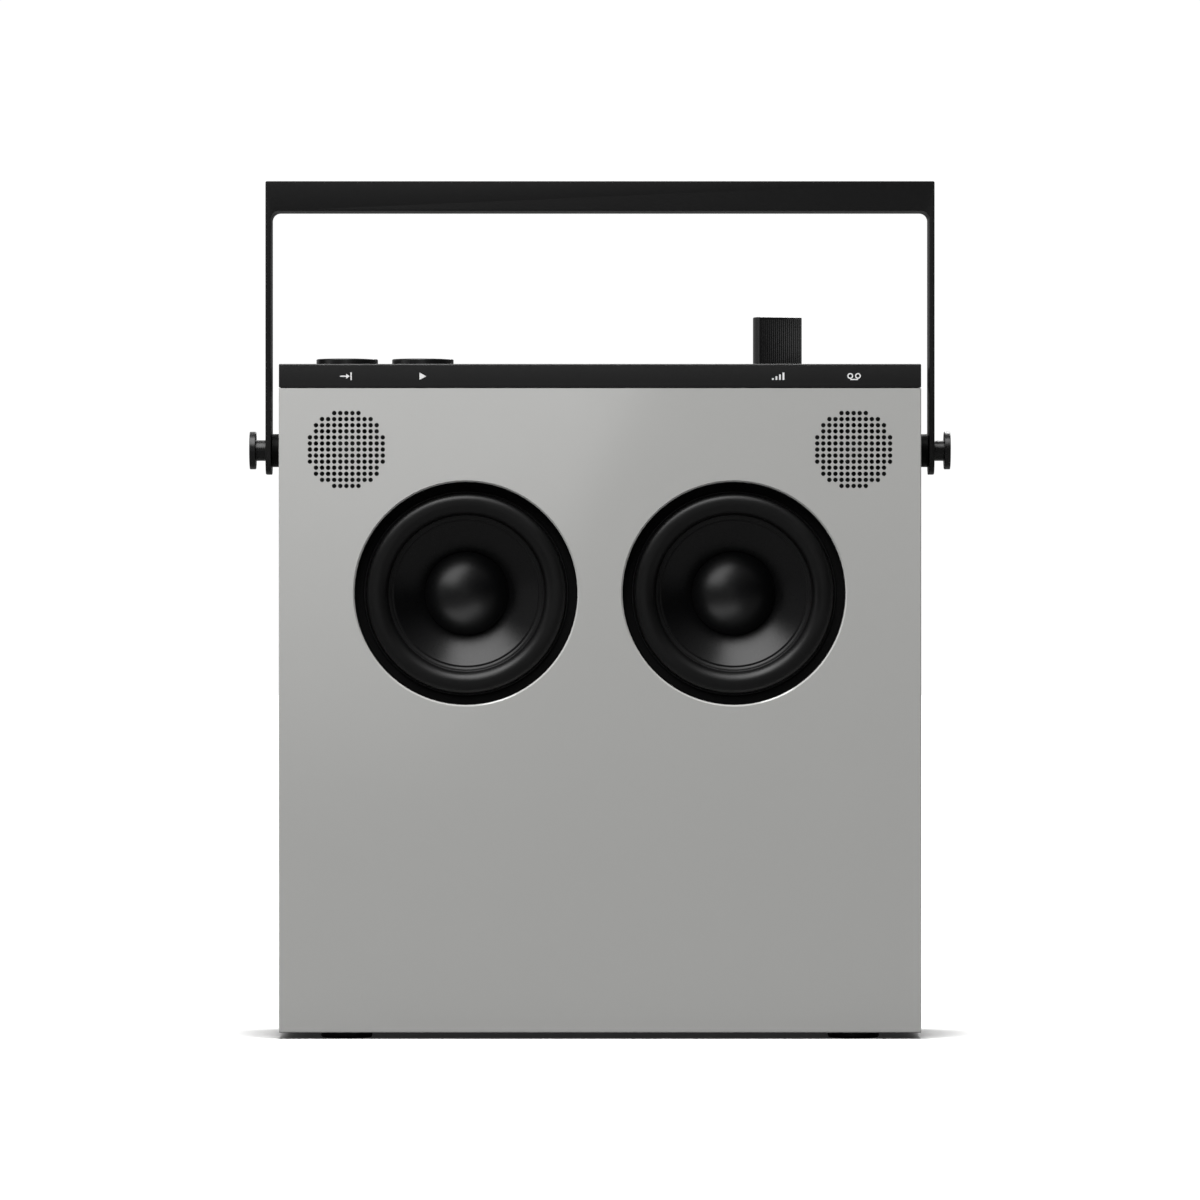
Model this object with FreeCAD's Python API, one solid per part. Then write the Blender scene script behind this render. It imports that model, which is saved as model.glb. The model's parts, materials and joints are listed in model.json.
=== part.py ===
import FreeCAD, Part
import math
import os

from FreeCAD import Vector

# Portable loudspeaker with a swinging carry handle. Millimetres, +Z up, front face towards -Y,
# origin at the middle of the footprint on the floor.

# Cabinet
CAB_X = 104.8
CAB_Y = 28.5
SHELL_BOTTOM = 2.0
SHELL_TOP = 212.3
WALL = 2.5
BAFFLE = 3.0
EDGE = 0.4
DECK_BOTTOM = 206.8
DECK_TOP = 209.3
COVER_INNER_Y = 26.0
COVER_GAP = 0.2
POSTS = [(98.3, 8.5), (98.3, 75.0), (98.3, 140.0), (30.0, 201.0)]
CENTRE_POSTS = [(0.0, 112.0)]
POST_R = 4.0
COVER_SCREW_R = 1.45

# Top panel
SEAM = 0.4
PANEL_TOP = 220.25
PANEL_WALL = 2.0
CAMBER_R = 85.0
TONGUE = 1.9
BUTTON_HOLE_R = 10.45
SHAFT_HOLE_R = 3.6
PANEL_SCREWS_X = [-95.5, -12.0, 12.0, 95.5]
PANEL_SCREWS_Y = 19.0

# Feet
FOOT_R = 8.5
FOOT_X = 83.0
FOOT_Y = 17.0

# Pivots and handle
PIVOT_Z = 192.5
INSERT_INNER_X = 94.5
INSERT_R = 4.4
BOSS_R = 7.0
SCREW_R = 2.5
SPACER_R = 5.45
ARM_IN = 108.3
ARM_OUT = 110.0
ARM_HALF_Y = 9.2
ARM_BOTTOM = 184.6
ARM_CORNER = 5.0
BAR_BOTTOM = 271.1
BAR_TOP = 280.9
BAR_FILLET = 2.6
NECK_R = 3.4
HEAD_R = 6.2
HEAD_IN = 113.43
HEAD_OUT = 115.5

# Woofers
WOOFER_X = 43.74
WOOFER_Z = 145.35
OPENING_R = 36.43
RING_BOSS_R = 44.0
FLANGE_Y = -23.0
FLANGE_R = 41.5
DRIVER_SCREW_R = 1.4
WOOFER_SCREW_PCR = 39.2
ROLL_OUT = 32.8
ROLL_IN = 25.6
LIP_IN = 23.6
LIP_Y = -21.45
LAND_Y = -23.5
SKIN = 0.5
TRIM_INNER_R = 33.3
TRIM_FRONT_Y = -24.1
CAP_R = 13.6
CAP_RIM_Y = -15.4
CAP_HEIGHT = 7.2
NECK_CONE_R = 13.2
NECK_Y = -14.0
COIL_OUT = 12.9
COIL_IN = 12.4
POLE_R = 11.9

# Tweeters
TWEETER_X = 82.75
TWEETER_Z = 192.3
GRILLE_PITCH = 1.98
GRILLE_HOLE_R = 0.735
GRILLE_MASK = 42
GRILLE_RECESS_R = 13.8
GRILLE_SKIN = 1.4
TWEETER_R = 14.4
EAR_DISTANCE = 17.0
EAR_ANGLES = [160.0, 340.0]

# Controls on the top
INPUT_X = -83.4
PLAY_X = -58.45
KNOB_X = 58.5
TAPE_X = 83.4
BUTTON_R = 10.15
BUTTON_TOP = 222.6
BUTTON_FLANGE_R = 11.6
KNOB_R = 8.05
KNOB_FLAT = 2.9
KNOB_TURN = 21.0
KNOB_BOTTOM = 220.6
KNOB_TOP = 236.4
SHAFT_R = 3.0
RUNNING = 0.05
TAPE_R = 10.15
TAPE_TOP = 220.1
BOARD_BOTTOM = 210.5
BOARD_TOP = 211.7
GEAR_MODULE = 0.5
GEAR_TEETH = 40
PINION_TEETH = 10
TOOTH_ROOT_HALF = 0.29
TOOTH_TIP_HALF = 0.10
GEAR_CENTRES = GEAR_MODULE * (GEAR_TEETH + PINION_TEETH) / 2

# Electronics
PACK_R = 9.4
PACK_Z = SHELL_BOTTOM + WALL + 2 * PACK_R + 0.1
PACK_Y = -CAB_Y + BAFFLE + PACK_R + 0.1
PACK_HALF_X = 65.5
BOARD_STANDOFFS = [(60.0, 66.0), (60.0, 98.0)]
BOARD_PEGS = [(-95.0, 9.0), (-95.0, -9.0), (0.0, 9.0), (0.0, -9.0), (70.5, 9.0), (70.5, -9.0)]
BRACKET_SCREW_X = 40.0
BRACKET_SCREW_Z = 49.0
SOCKET_X = 12.0
SOCKET_Z = 62.0
PLATE_HALF_X = 26.0
PLATE_HALF_Z = 8.0
JACK_R = 1.8


def box(x0, x1, y0, y1, z0, z1):
    return Part.makeBox(x1 - x0, y1 - y0, z1 - z0, Vector(x0, y0, z0))


def rod_x(r, x0, x1, y, z):
    return Part.makeCylinder(r, x1 - x0, Vector(x0, y, z), Vector(1, 0, 0))


def rod_y(r, y0, y1, x, z):
    return Part.makeCylinder(r, y1 - y0, Vector(x, y0, z), Vector(0, 1, 0))


def rod_z(r, z0, z1, x, y):
    return Part.makeCylinder(r, z1 - z0, Vector(x, y, z0), Vector(0, 0, 1))


def tube_x(outer, inner, x0, x1, y, z):
    return rod_x(outer, x0, x1, y, z).cut(rod_x(inner, x0 - 1, x1 + 1, y, z))


def tube_y(outer, inner, y0, y1, x, z):
    return rod_y(outer, y0, y1, x, z).cut(rod_y(inner, y0 - 1, y1 + 1, x, z))


def tube_z(outer, inner, z0, z1, x, y):
    return rod_z(outer, z0, z1, x, y).cut(rod_z(inner, z0 - 1, z1 + 1, x, y))


def join(shapes):
    whole = shapes[0]
    for shape in shapes[1:]:
        whole = whole.fuse(shape)
    return whole.removeSplitter()


def mirror(shape):
    return shape.mirror(Vector(0, 0, 0), Vector(1, 0, 0))


def both(shape):
    return [shape, mirror(shape)]


def export(shape, name):
    shape.exportStep("parts/" + name + ".step")


def export_pair(shape, name):
    export(shape, name + "_right")
    export(mirror(shape), name + "_left")


def spun(edges, x, z):
    """A solid turned from (radius, y) edges about the line through (x, z) along Y."""
    face = Part.Face(Part.Wire(edges))
    solid = face.revolve(Vector(0, 0, 0), Vector(0, 1, 0), 360)
    solid.translate(Vector(x, 0, z))
    return solid


def line(a, b):
    return Part.makeLine(Vector(a[0], a[1], 0), Vector(b[0], b[1], 0))


def outline(points):
    return [line(a, b) for a, b in zip(points, points[1:] + points[:1])]


def arc(a, middle, b):
    points = [Vector(p[0], p[1], 0) for p in (a, middle, b)]
    return Part.Arc(*points).toShape()


def driver_screw_places():
    places = []
    for k in range(4):
        a = math.radians(45 + 90 * k)
        x = WOOFER_X + WOOFER_SCREW_PCR * math.cos(a)
        places.append((x, WOOFER_Z + WOOFER_SCREW_PCR * math.sin(a)))
    return places


def ear_places():
    places = []
    for angle in EAR_ANGLES:
        a = math.radians(angle)
        places.append((TWEETER_X + EAR_DISTANCE * math.cos(a), TWEETER_Z + EAR_DISTANCE * math.sin(a)))
    return places


def post_places():
    right = [(x, z) for x, z in POSTS]
    left = [(-x, z) for x, z in POSTS]
    return right + left + CENTRE_POSTS


def grille_holes():
    """The round pattern of drilled holes over one tweeter."""
    holes = []
    for i in range(-6, 7):
        for j in range(-6, 7):
            if i * i + j * j <= GRILLE_MASK:
                x = TWEETER_X + i * GRILLE_PITCH
                z = TWEETER_Z + j * GRILLE_PITCH
                holes.append(rod_y(GRILLE_HOLE_R, -CAB_Y - 1, -CAB_Y + GRILLE_SKIN + 0.2, x, z))
    return holes


def shell_body():
    outer = box(-CAB_X, CAB_X, -CAB_Y, CAB_Y, SHELL_BOTTOM, SHELL_TOP)
    upright = [e for e in outer.Edges if abs(e.BoundBox.ZLength) > 100]
    long_edges = upright + [e for e in outer.Edges if e.BoundBox.ZMax < SHELL_BOTTOM + 1]
    outer = outer.makeFillet(EDGE, long_edges)
    inside = box(-CAB_X + WALL, CAB_X - WALL, -CAB_Y + BAFFLE, CAB_Y + 1, SHELL_BOTTOM + WALL, DECK_BOTTOM)
    tray = box(-CAB_X + WALL, CAB_X - WALL, -CAB_Y + BAFFLE, COVER_INNER_Y, DECK_TOP, SHELL_TOP + 1)
    return outer.cut(inside).cut(tray)


def shell_bosses():
    bosses = []
    for x, z in post_places():
        bosses.append(rod_y(POST_R, -CAB_Y + 1, COVER_INNER_Y, x, z))
    inner_x = CAB_X - WALL
    right = [rod_y(RING_BOSS_R, -CAB_Y + 1, FLANGE_Y, WOOFER_X, WOOFER_Z)]
    right.append(rod_x(BOSS_R, INSERT_INNER_X, inner_x + 1, 0, PIVOT_Z))
    for x, z in BOARD_STANDOFFS:
        right.append(rod_y(3.0, -CAB_Y + 1, -10.0, x, z))
    right.append(rod_y(3.0, -CAB_Y + 1, -22.5, BRACKET_SCREW_X, BRACKET_SCREW_Z))
    for x, z in ear_places():
        right.append(rod_y(2.8, -CAB_Y + 1, -24.5, x, z))
    for boss in right:
        bosses += both(boss)
    for x in PANEL_SCREWS_X:
        bosses.append(rod_z(3.0, DECK_BOTTOM - 1.5, DECK_BOTTOM + 0.5, x, PANEL_SCREWS_Y))
        bosses.append(rod_z(3.0, DECK_BOTTOM - 1.5, DECK_BOTTOM + 0.5, x, -PANEL_SCREWS_Y))
    for x, y in BOARD_PEGS:
        bosses.append(rod_z(2.4, DECK_TOP - 0.5, BOARD_BOTTOM, x, y))
        bosses.append(rod_z(1.2, DECK_TOP - 0.5, BOARD_TOP + 0.6, x, y))
    lip_y = PACK_Y + PACK_R + 0.1
    bosses.append(box(-48, 48, lip_y, lip_y + 1.5, SHELL_BOTTOM + 1, SHELL_BOTTOM + WALL + 5))
    return bosses


def shell_cuts():
    cuts = []
    for x, z in post_places():
        cuts.append(rod_y(COVER_SCREW_R + 0.05, COVER_INNER_Y - 9, CAB_Y + 1, x, z))
    right = [rod_y(OPENING_R, -CAB_Y - 1, FLANGE_Y + 1, WOOFER_X, WOOFER_Z)]
    rim = Part.makeCone(OPENING_R + 0.5, OPENING_R, 0.5, Vector(WOOFER_X, -CAB_Y, WOOFER_Z), Vector(0, 1, 0))
    right.append(rim)
    right.append(rod_y(GRILLE_RECESS_R, -CAB_Y + GRILLE_SKIN, -24.0, TWEETER_X, TWEETER_Z))
    right.append(rod_x(INSERT_R + 0.05, INSERT_INNER_X - 1, CAB_X - 1.2, 0, PIVOT_Z))
    right.append(rod_x(3.0, CAB_X - 3, CAB_X + 1, 0, PIVOT_Z))
    for x, z in driver_screw_places():
        right.append(rod_y(DRIVER_SCREW_R + 0.05, -27.0, FLANGE_Y + 1, x, z))
    for x, z in ear_places():
        right.append(rod_y(DRIVER_SCREW_R + 0.05, -27.4, -24.0, x, z))
    for x, z in BOARD_STANDOFFS:
        right.append(rod_y(1.25, -16.0, -9.0, x, z))
    right.append(rod_y(1.25, -27.0, -22.0, BRACKET_SCREW_X, BRACKET_SCREW_Z))
    for cut in right:
        cuts += both(cut)
    for x in PANEL_SCREWS_X:
        cuts.append(rod_z(1.5, DECK_BOTTOM - 3, DECK_TOP + 1, x, PANEL_SCREWS_Y))
        cuts.append(rod_z(1.5, DECK_BOTTOM - 3, DECK_TOP + 1, x, -PANEL_SCREWS_Y))
    cuts.append(rod_z(4.0, DECK_BOTTOM - 1, DECK_TOP + 1, KNOB_X, 0))
    cuts.append(rod_z(3.0, DECK_BOTTOM - 1, DECK_TOP + 1, KNOB_X - GEAR_CENTRES, 0))
    return cuts


def make_shell():
    shell = join([shell_body()] + shell_bosses())
    shell = shell.cut(Part.makeCompound(shell_cuts()))
    holes = grille_holes()
    shell = shell.cut(Part.makeCompound(holes))
    shell = shell.cut(Part.makeCompound([mirror(h) for h in holes]))
    export(shell, "cabinet_shell")


def make_rear_cover():
    inner_x = CAB_X - WALL - COVER_GAP
    low = SHELL_BOTTOM + WALL + COVER_GAP
    plate = box(-inner_x, inner_x, COVER_INNER_Y, CAB_Y, low, DECK_BOTTOM - COVER_GAP)
    ribs = [
        box(-90, 90, 24.5, COVER_INNER_Y + 0.5, 38.0, 39.5),
        box(-90, 90, 24.5, COVER_INNER_Y + 0.5, 88.0, 89.5),
    ]
    for x in (-SOCKET_X - 8.0, SOCKET_X + 8.0):
        ribs.append(rod_y(2.6, 20.5, COVER_INNER_Y + 0.5, x, SOCKET_Z - 12.5))
        ribs.append(rod_y(2.6, 20.5, COVER_INNER_Y + 0.5, x, SOCKET_Z + 12.5))
    cover = join([plate] + ribs)
    cuts = [
        box(
            -PLATE_HALF_X - COVER_GAP,
            PLATE_HALF_X + COVER_GAP,
            COVER_INNER_Y - 1,
            CAB_Y + 1,
            SOCKET_Z - PLATE_HALF_Z - COVER_GAP,
            SOCKET_Z + PLATE_HALF_Z + COVER_GAP,
        )
    ]
    for x in (-SOCKET_X - 8.0, SOCKET_X + 8.0):
        cuts.append(rod_y(1.25, 19.0, 24.5, x, SOCKET_Z - 12.5))
        cuts.append(rod_y(1.25, 19.0, 24.5, x, SOCKET_Z + 12.5))
    for x, z in post_places():
        cuts.append(rod_y(COVER_SCREW_R + 0.15, COVER_INNER_Y - 1, CAB_Y + 1, x, z))
        cuts.append(Part.makeCone(1.6, 3.1, 1.5, Vector(x, CAB_Y - 1.5, z), Vector(0, 1, 0)))
    export(cover.cut(Part.makeCompound(cuts)), "rear_cover")


def cover_screw(x, z):
    head = Part.makeCone(COVER_SCREW_R, 2.85, 1.4, Vector(x, CAB_Y - 1.5, z), Vector(0, 1, 0))
    shank = rod_y(COVER_SCREW_R, COVER_INNER_Y - 8, CAB_Y - 1.5, x, z)
    slot_a = box(x - 1.7, x + 1.7, CAB_Y - 0.8, CAB_Y, z - 0.3, z + 0.3)
    slot_b = box(x - 0.3, x + 0.3, CAB_Y - 0.8, CAB_Y, z - 1.7, z + 1.7)
    return join([head, shank]).cut(slot_a).cut(slot_b)


def panel_walls():
    """The tray's outside, whose front and back lean in a little towards the top on a shallow arc."""
    low = SHELL_TOP + SEAM
    outer = box(-CAB_X, CAB_X, -CAB_Y, CAB_Y, low, PANEL_TOP)
    for y in (-CAB_Y + CAMBER_R, CAB_Y - CAMBER_R):
        outer = outer.common(rod_x(CAMBER_R, -CAB_X - 1, CAB_X + 1, y, low))
    edges = [e for e in outer.Edges if abs(e.BoundBox.ZLength) > 5 or e.BoundBox.ZMin > PANEL_TOP - 0.5]
    outer = outer.makeFillet(EDGE, edges)
    tongue_x = CAB_X - WALL - COVER_GAP
    front = -CAB_Y + BAFFLE + COVER_GAP
    back = COVER_INNER_Y - COVER_GAP
    tongue = box(-tongue_x, tongue_x, front, back, DECK_TOP, SHELL_TOP + 1)
    hollow = box(
        -tongue_x + TONGUE,
        tongue_x - TONGUE,
        front + TONGUE,
        back - TONGUE,
        DECK_TOP - 1,
        PANEL_TOP - PANEL_WALL,
    )
    return join([outer, tongue]).cut(hollow)


def make_top_panel():
    parts = [panel_walls()]
    for x in PANEL_SCREWS_X:
        for y in (-PANEL_SCREWS_Y, PANEL_SCREWS_Y):
            parts.append(rod_z(3.0, DECK_TOP, PANEL_TOP - PANEL_WALL + 0.5, x, y))
    panel = join(parts)
    cuts = [rod_z(BUTTON_HOLE_R, PANEL_TOP - 3, PANEL_TOP + 1, x, 0) for x in (INPUT_X, PLAY_X, TAPE_X)]
    cuts.append(rod_z(SHAFT_HOLE_R, PANEL_TOP - 3, PANEL_TOP + 1, KNOB_X, 0))
    for x in PANEL_SCREWS_X:
        for y in (-PANEL_SCREWS_Y, PANEL_SCREWS_Y):
            cuts.append(rod_z(1.25, DECK_TOP - 1, DECK_TOP + 5.5, x, y))
    export(panel.cut(Part.makeCompound(cuts)), "top_panel")


def panel_screw(x, y):
    low = DECK_BOTTOM - 1.5
    return join([rod_z(2.4, low - 1.4, low, x, y), rod_z(1.2, low, DECK_TOP + 5.0, x, y)])


def make_feet():
    for x, side in ((-FOOT_X, "left"), (FOOT_X, "right")):
        for y, end in ((-FOOT_Y, "front"), (FOOT_Y, "rear")):
            foot = rod_z(FOOT_R, 0, SHELL_BOTTOM, x, y)
            foot = foot.makeFillet(0.6, [e for e in foot.Edges if e.BoundBox.ZMax < 0.1])
            export(foot, "foot_" + end + "_" + side)


def make_pivot_hardware():
    insert = tube_x(INSERT_R, SCREW_R + RUNNING, INSERT_INNER_X, CAB_X - 1.25, 0, PIVOT_Z)
    export(Part.makeCompound(both(insert)), "pivot_inserts")
    spacer = tube_x(SPACER_R, SCREW_R + 0.1, CAB_X, ARM_IN - 0.05, 0, PIVOT_Z)
    spacer = spacer.makeChamfer(0.25, [e for e in spacer.Edges if e.Length > 30])
    export(Part.makeCompound(both(spacer)), "spacers")
    shank = rod_x(SCREW_R, INSERT_INNER_X + 1.5, ARM_OUT + 0.5, 0, PIVOT_Z)
    neck = rod_x(NECK_R, ARM_OUT + 0.05, HEAD_IN + 0.5, 0, PIVOT_Z)
    head = rod_x(HEAD_R, HEAD_IN, HEAD_OUT, 0, PIVOT_Z)
    head = head.makeFillet(0.3, [e for e in head.Edges if e.Length > 30])
    slot = box(HEAD_OUT - 0.9, HEAD_OUT + 1, -4.2, 4.2, PIVOT_Z - 0.6, PIVOT_Z + 0.6)
    export_pair(join([shank, neck, head]).cut(slot), "thumb_screw")


def make_handle():
    points = [
        (-ARM_OUT, ARM_BOTTOM),
        (-ARM_OUT, BAR_TOP),
        (ARM_OUT, BAR_TOP),
        (ARM_OUT, ARM_BOTTOM),
        (ARM_IN, ARM_BOTTOM),
        (ARM_IN, BAR_BOTTOM),
        (-ARM_IN, BAR_BOTTOM),
        (-ARM_IN, ARM_BOTTOM),
    ]
    wire = Part.makePolygon([Vector(x, -ARM_HALF_Y, z) for x, z in points + points[:1]])
    handle = Part.Face(wire).extrude(Vector(0, 2 * ARM_HALF_Y, 0))
    inner = []
    ends = []
    for e in handle.Edges:
        box_ = e.BoundBox
        along_y = box_.YLength > 10
        along_x = box_.XLength > 1 and box_.YLength < 0.1 and box_.ZLength < 0.1
        if along_y and abs(abs(box_.XMin) - ARM_IN) < 0.01 and box_.ZMin > BAR_BOTTOM - 1:
            inner.append(e)
        if along_x and box_.ZMax < ARM_BOTTOM + 0.01:
            ends.append(e)
    handle = handle.makeFillet(BAR_FILLET, inner)
    ends = [e for e in handle.Edges if e.BoundBox.ZMax < ARM_BOTTOM + 0.01 and e.BoundBox.XLength > 1]
    ends = [e for e in ends if e.BoundBox.YLength < 0.1]
    handle = handle.makeFillet(ARM_CORNER, ends)
    hole = rod_x(SCREW_R + 0.1, -CAB_X - 10, CAB_X + 10, 0, PIVOT_Z)
    export(handle.cut(hole), "handle")


def basket():
    flange = tube_y(FLANGE_R, 33.4, FLANGE_Y, FLANGE_Y + 1.4, 0, 0)
    outside = [(35.2, -23.0), (35.2, -20.5), (27.6, -3.8)]
    inside = [(25.8, -3.8), (33.4, -20.5), (33.4, -23.0)]
    wall = spun(outline(outside + inside), 0, 0)
    shelf = tube_y(27.6, 23.6, -5.0, -3.8, 0, 0)
    cup = [(26.0, -5.0), (27.6, -5.0), (27.6, 4.0), (13.9, 4.0), (13.9, 2.5), (26.0, 2.5)]
    back = spun(outline(cup), 0, 0)
    whole = join([flange, wall, shelf, back])
    windows = []
    for k in range(4):
        window = box(-9.0, 9.0, -19.0, -6.0, 20.0, 45.0)
        window.rotate(Vector(0, 0, 0), Vector(0, 1, 0), 90 * k)
        windows.append(window)
        vent = box(-6.0, 6.0, -2.5, 1.0, 20.0, 45.0)
        vent.rotate(Vector(0, 0, 0), Vector(0, 1, 0), 90 * k)
        windows.append(vent)
    whole = whole.cut(Part.makeCompound(windows))
    whole.translate(Vector(WOOFER_X, 0, WOOFER_Z))
    holes = [rod_y(1.6, -25.0, -20.0, x, z) for x, z in driver_screw_places()]
    return whole.cut(Part.makeCompound(holes))


def surround():
    """A half-roll of rubber from the glue land on the flange down to the land on the cone's lip."""
    middle = (ROLL_OUT + ROLL_IN) / 2
    half = (ROLL_OUT - ROLL_IN) / 2
    under = LAND_Y + SKIN
    lip_top = LIP_Y - 0.05 - SKIN
    lip_under = LIP_Y - 0.05
    edges = [
        line((LIP_IN + 0.6, lip_top), (ROLL_IN, lip_top)),
        line((ROLL_IN, lip_top), (ROLL_IN, LAND_Y)),
        arc((ROLL_IN, LAND_Y), (middle, LAND_Y - half), (ROLL_OUT, LAND_Y)),
        line((ROLL_OUT, LAND_Y), (36.0, LAND_Y)),
        line((36.0, LAND_Y), (36.0, under)),
        line((36.0, under), (ROLL_OUT - SKIN, under)),
        arc((ROLL_OUT - SKIN, under), (middle, LAND_Y - half + 0.55), (ROLL_IN + SKIN, under)),
        line((ROLL_IN + SKIN, under), (ROLL_IN + SKIN, lip_under)),
        line((ROLL_IN + SKIN, lip_under), (LIP_IN + 0.6, lip_under)),
        line((LIP_IN + 0.6, lip_under), (LIP_IN + 0.6, lip_top)),
    ]
    return spun(edges, WOOFER_X, WOOFER_Z)


def cone():
    points = [
        (ROLL_IN + 0.3, LIP_Y),
        (ROLL_IN + 0.3, LIP_Y + SKIN),
        (LIP_IN - 0.1, LIP_Y + SKIN),
        (NECK_CONE_R + 0.1, NECK_Y),
        (NECK_CONE_R + 0.1, NECK_Y + 1.2),
        (NECK_CONE_R - 0.25, NECK_Y + 1.2),
        (NECK_CONE_R - 0.25, NECK_Y - 0.6),
        (LIP_IN - 0.35, LIP_Y),
    ]
    return spun(outline(points), WOOFER_X, WOOFER_Z)


def dome(rim_r, height, thickness, rim_y, x, z):
    """A thin ball-shaped cap that bulges towards the front from a round rim."""
    ball_r = (rim_r**2 + height**2) / (2 * height)
    centre = Vector(x, rim_y - height + ball_r, z)
    shell = Part.makeSphere(ball_r, centre).cut(Part.makeSphere(ball_r - thickness, centre))
    return shell.common(rod_y(rim_r + 1, rim_y - height - 1, rim_y, x, z))


def spider():
    """A corrugated disc that centres the coil, from the coil former to the basket's shelf."""
    upper = [(COIL_OUT + 0.05, -6.2)]
    for k in range(9):
        r = 14.0 + k * 1.1
        upper.append((r, -6.2 + (0.7 if k % 2 else -0.5)))
    upper.append((23.6, -5.35))
    upper.append((25.4, -5.35))
    lower = [(r, y + 0.3) for r, y in reversed(upper)]
    return spun(outline(upper + lower), WOOFER_X, WOOFER_Z)


def yoke():
    back = rod_y(24.0, 17.0, 20.0, WOOFER_X, WOOFER_Z)
    pole = tube_y(POLE_R, 4.0, 4.0, 17.5, WOOFER_X, WOOFER_Z)
    plate = tube_y(24.0, 13.4, 4.05, 6.95, WOOFER_X, WOOFER_Z)
    return Part.makeCompound([join([back, pole]), plate])


def tweeter_housing():
    flange = tube_y(TWEETER_R, 10.2, -24.5, -23.0, TWEETER_X, TWEETER_Z)
    cup = rod_y(12.0, -23.0, -12.5, TWEETER_X, TWEETER_Z)
    cup = cup.cut(rod_y(10.2, -23.5, -14.0, TWEETER_X, TWEETER_Z))
    pole = rod_y(7.5, -20.0, -13.5, TWEETER_X, TWEETER_Z)
    parts = [flange, cup, pole]
    for x, z in ear_places():
        arm = box(0, EAR_DISTANCE, -24.5, -23.0, -2.0, 2.0).cut(rod_y(11.0, -26, -20, 0, 0))
        turn = math.degrees(math.atan2(z - TWEETER_Z, x - TWEETER_X))
        arm.rotate(Vector(0, 0, 0), Vector(0, 1, 0), -turn)
        arm.translate(Vector(TWEETER_X, 0, TWEETER_Z))
        parts += [rod_y(2.8, -24.5, -23.0, x, z), arm]
    whole = join(parts)
    holes = [rod_y(1.6, -26.0, -20.0, x, z) for x, z in ear_places()]
    return whole.cut(Part.makeCompound(holes))


def tweeter_dome():
    flange = tube_y(10.1, 9.1, -23.2, -22.9, TWEETER_X, TWEETER_Z)
    return join([dome(9.4, 3.2, 0.35, -23.1, TWEETER_X, TWEETER_Z), flange])


def driver_screw(x, z, head_y, tip_y):
    return join([rod_y(DRIVER_SCREW_R, tip_y, head_y + 0.5, x, z), rod_y(2.5, head_y, head_y + 1.6, x, z)])


def make_drivers():
    export_pair(basket(), "woofer_basket")
    gasket = tube_y(36.2, TRIM_INNER_R, TRIM_FRONT_Y, LAND_Y - 0.05, WOOFER_X, WOOFER_Z)
    gasket = gasket.makeChamfer(0.2, [e for e in gasket.Edges if e.BoundBox.YMax < TRIM_FRONT_Y + 0.1])
    export_pair(gasket, "woofer_gasket")
    export_pair(surround(), "woofer_surround")
    export_pair(spider(), "woofer_spider")
    export_pair(tube_y(26.0, 15.0, 7.0, 16.95, WOOFER_X, WOOFER_Z), "woofer_magnet")
    export_pair(yoke(), "woofer_yoke")
    export_pair(cone(), "woofer_cone")
    cap = dome(CAP_R, CAP_HEIGHT, 0.45, CAP_RIM_Y, WOOFER_X, WOOFER_Z)
    export_pair(cap, "woofer_dust_cap")
    export_pair(tube_y(COIL_OUT, COIL_IN, NECK_Y - 0.4, 9.5, WOOFER_X, WOOFER_Z), "woofer_voice_coil")
    export_pair(tweeter_housing(), "tweeter_housing")
    export_pair(tweeter_dome(), "tweeter_dome")
    screws = []
    for x, z in driver_screw_places():
        screws += both(driver_screw(x, z, FLANGE_Y + 1.4, -26.5))
    for x, z in ear_places():
        screws += both(driver_screw(x, z, -23.0, -27.0))
    export(Part.makeCompound(screws), "driver_screws")


def button(x):
    cap = rod_z(BUTTON_R, 216.2, BUTTON_TOP, x, 0)
    cap = cap.makeFillet(0.7, [e for e in cap.Edges if e.BoundBox.ZMin > BUTTON_TOP - 0.1])
    flange = rod_z(BUTTON_FLANGE_R, 216.2, 218.05, x, 0)
    hollow = tube_z(8.6, 2.0, 216.0, 220.6, x, 0)
    return join([cap, flange]).cut(hollow)


def return_pad(x):
    """A soft ring that lifts the button back up."""
    height = 216.15 - BOARD_TOP
    outer = Part.makeCone(11.4, 10.2, height, Vector(x, 0, BOARD_TOP))
    return outer.cut(Part.makeCone(10.6, 9.4, height, Vector(x, 0, BOARD_TOP)))


def make_buttons():
    export(button(INPUT_X), "input_button")
    export(button(PLAY_X), "play_button")
    export(return_pad(INPUT_X), "return_pad_input")
    export(return_pad(PLAY_X), "return_pad_play")
    switches = []
    for x in (INPUT_X, PLAY_X):
        body = box(x - 3, x + 3, -3, 3, BOARD_TOP, BOARD_TOP + 2.4)
        switches.append(join([body, rod_z(1.7, BOARD_TOP + 2.0, BOARD_TOP + 3.25, x, 0)]))
    export(Part.makeCompound(switches), "button_switches")


def make_knob():
    knob = rod_z(KNOB_R, KNOB_BOTTOM, KNOB_TOP, 0, 0)
    knob = knob.makeChamfer(0.3, [e for e in knob.Edges if e.BoundBox.ZMin > KNOB_TOP - 0.1])
    front = box(-20, 20, -20, -KNOB_FLAT, KNOB_BOTTOM - 1, KNOB_TOP + 1)
    front.rotate(Vector(0, 0, 0), Vector(0, 0, 1), KNOB_TURN)
    knob = knob.cut(front)
    knob = knob.cut(rod_z(SHAFT_R - 0.95, KNOB_BOTTOM - 1, 232.05, 0, 0))
    knob.translate(Vector(KNOB_X, 0, 0))
    export(knob, "volume_knob")


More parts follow.
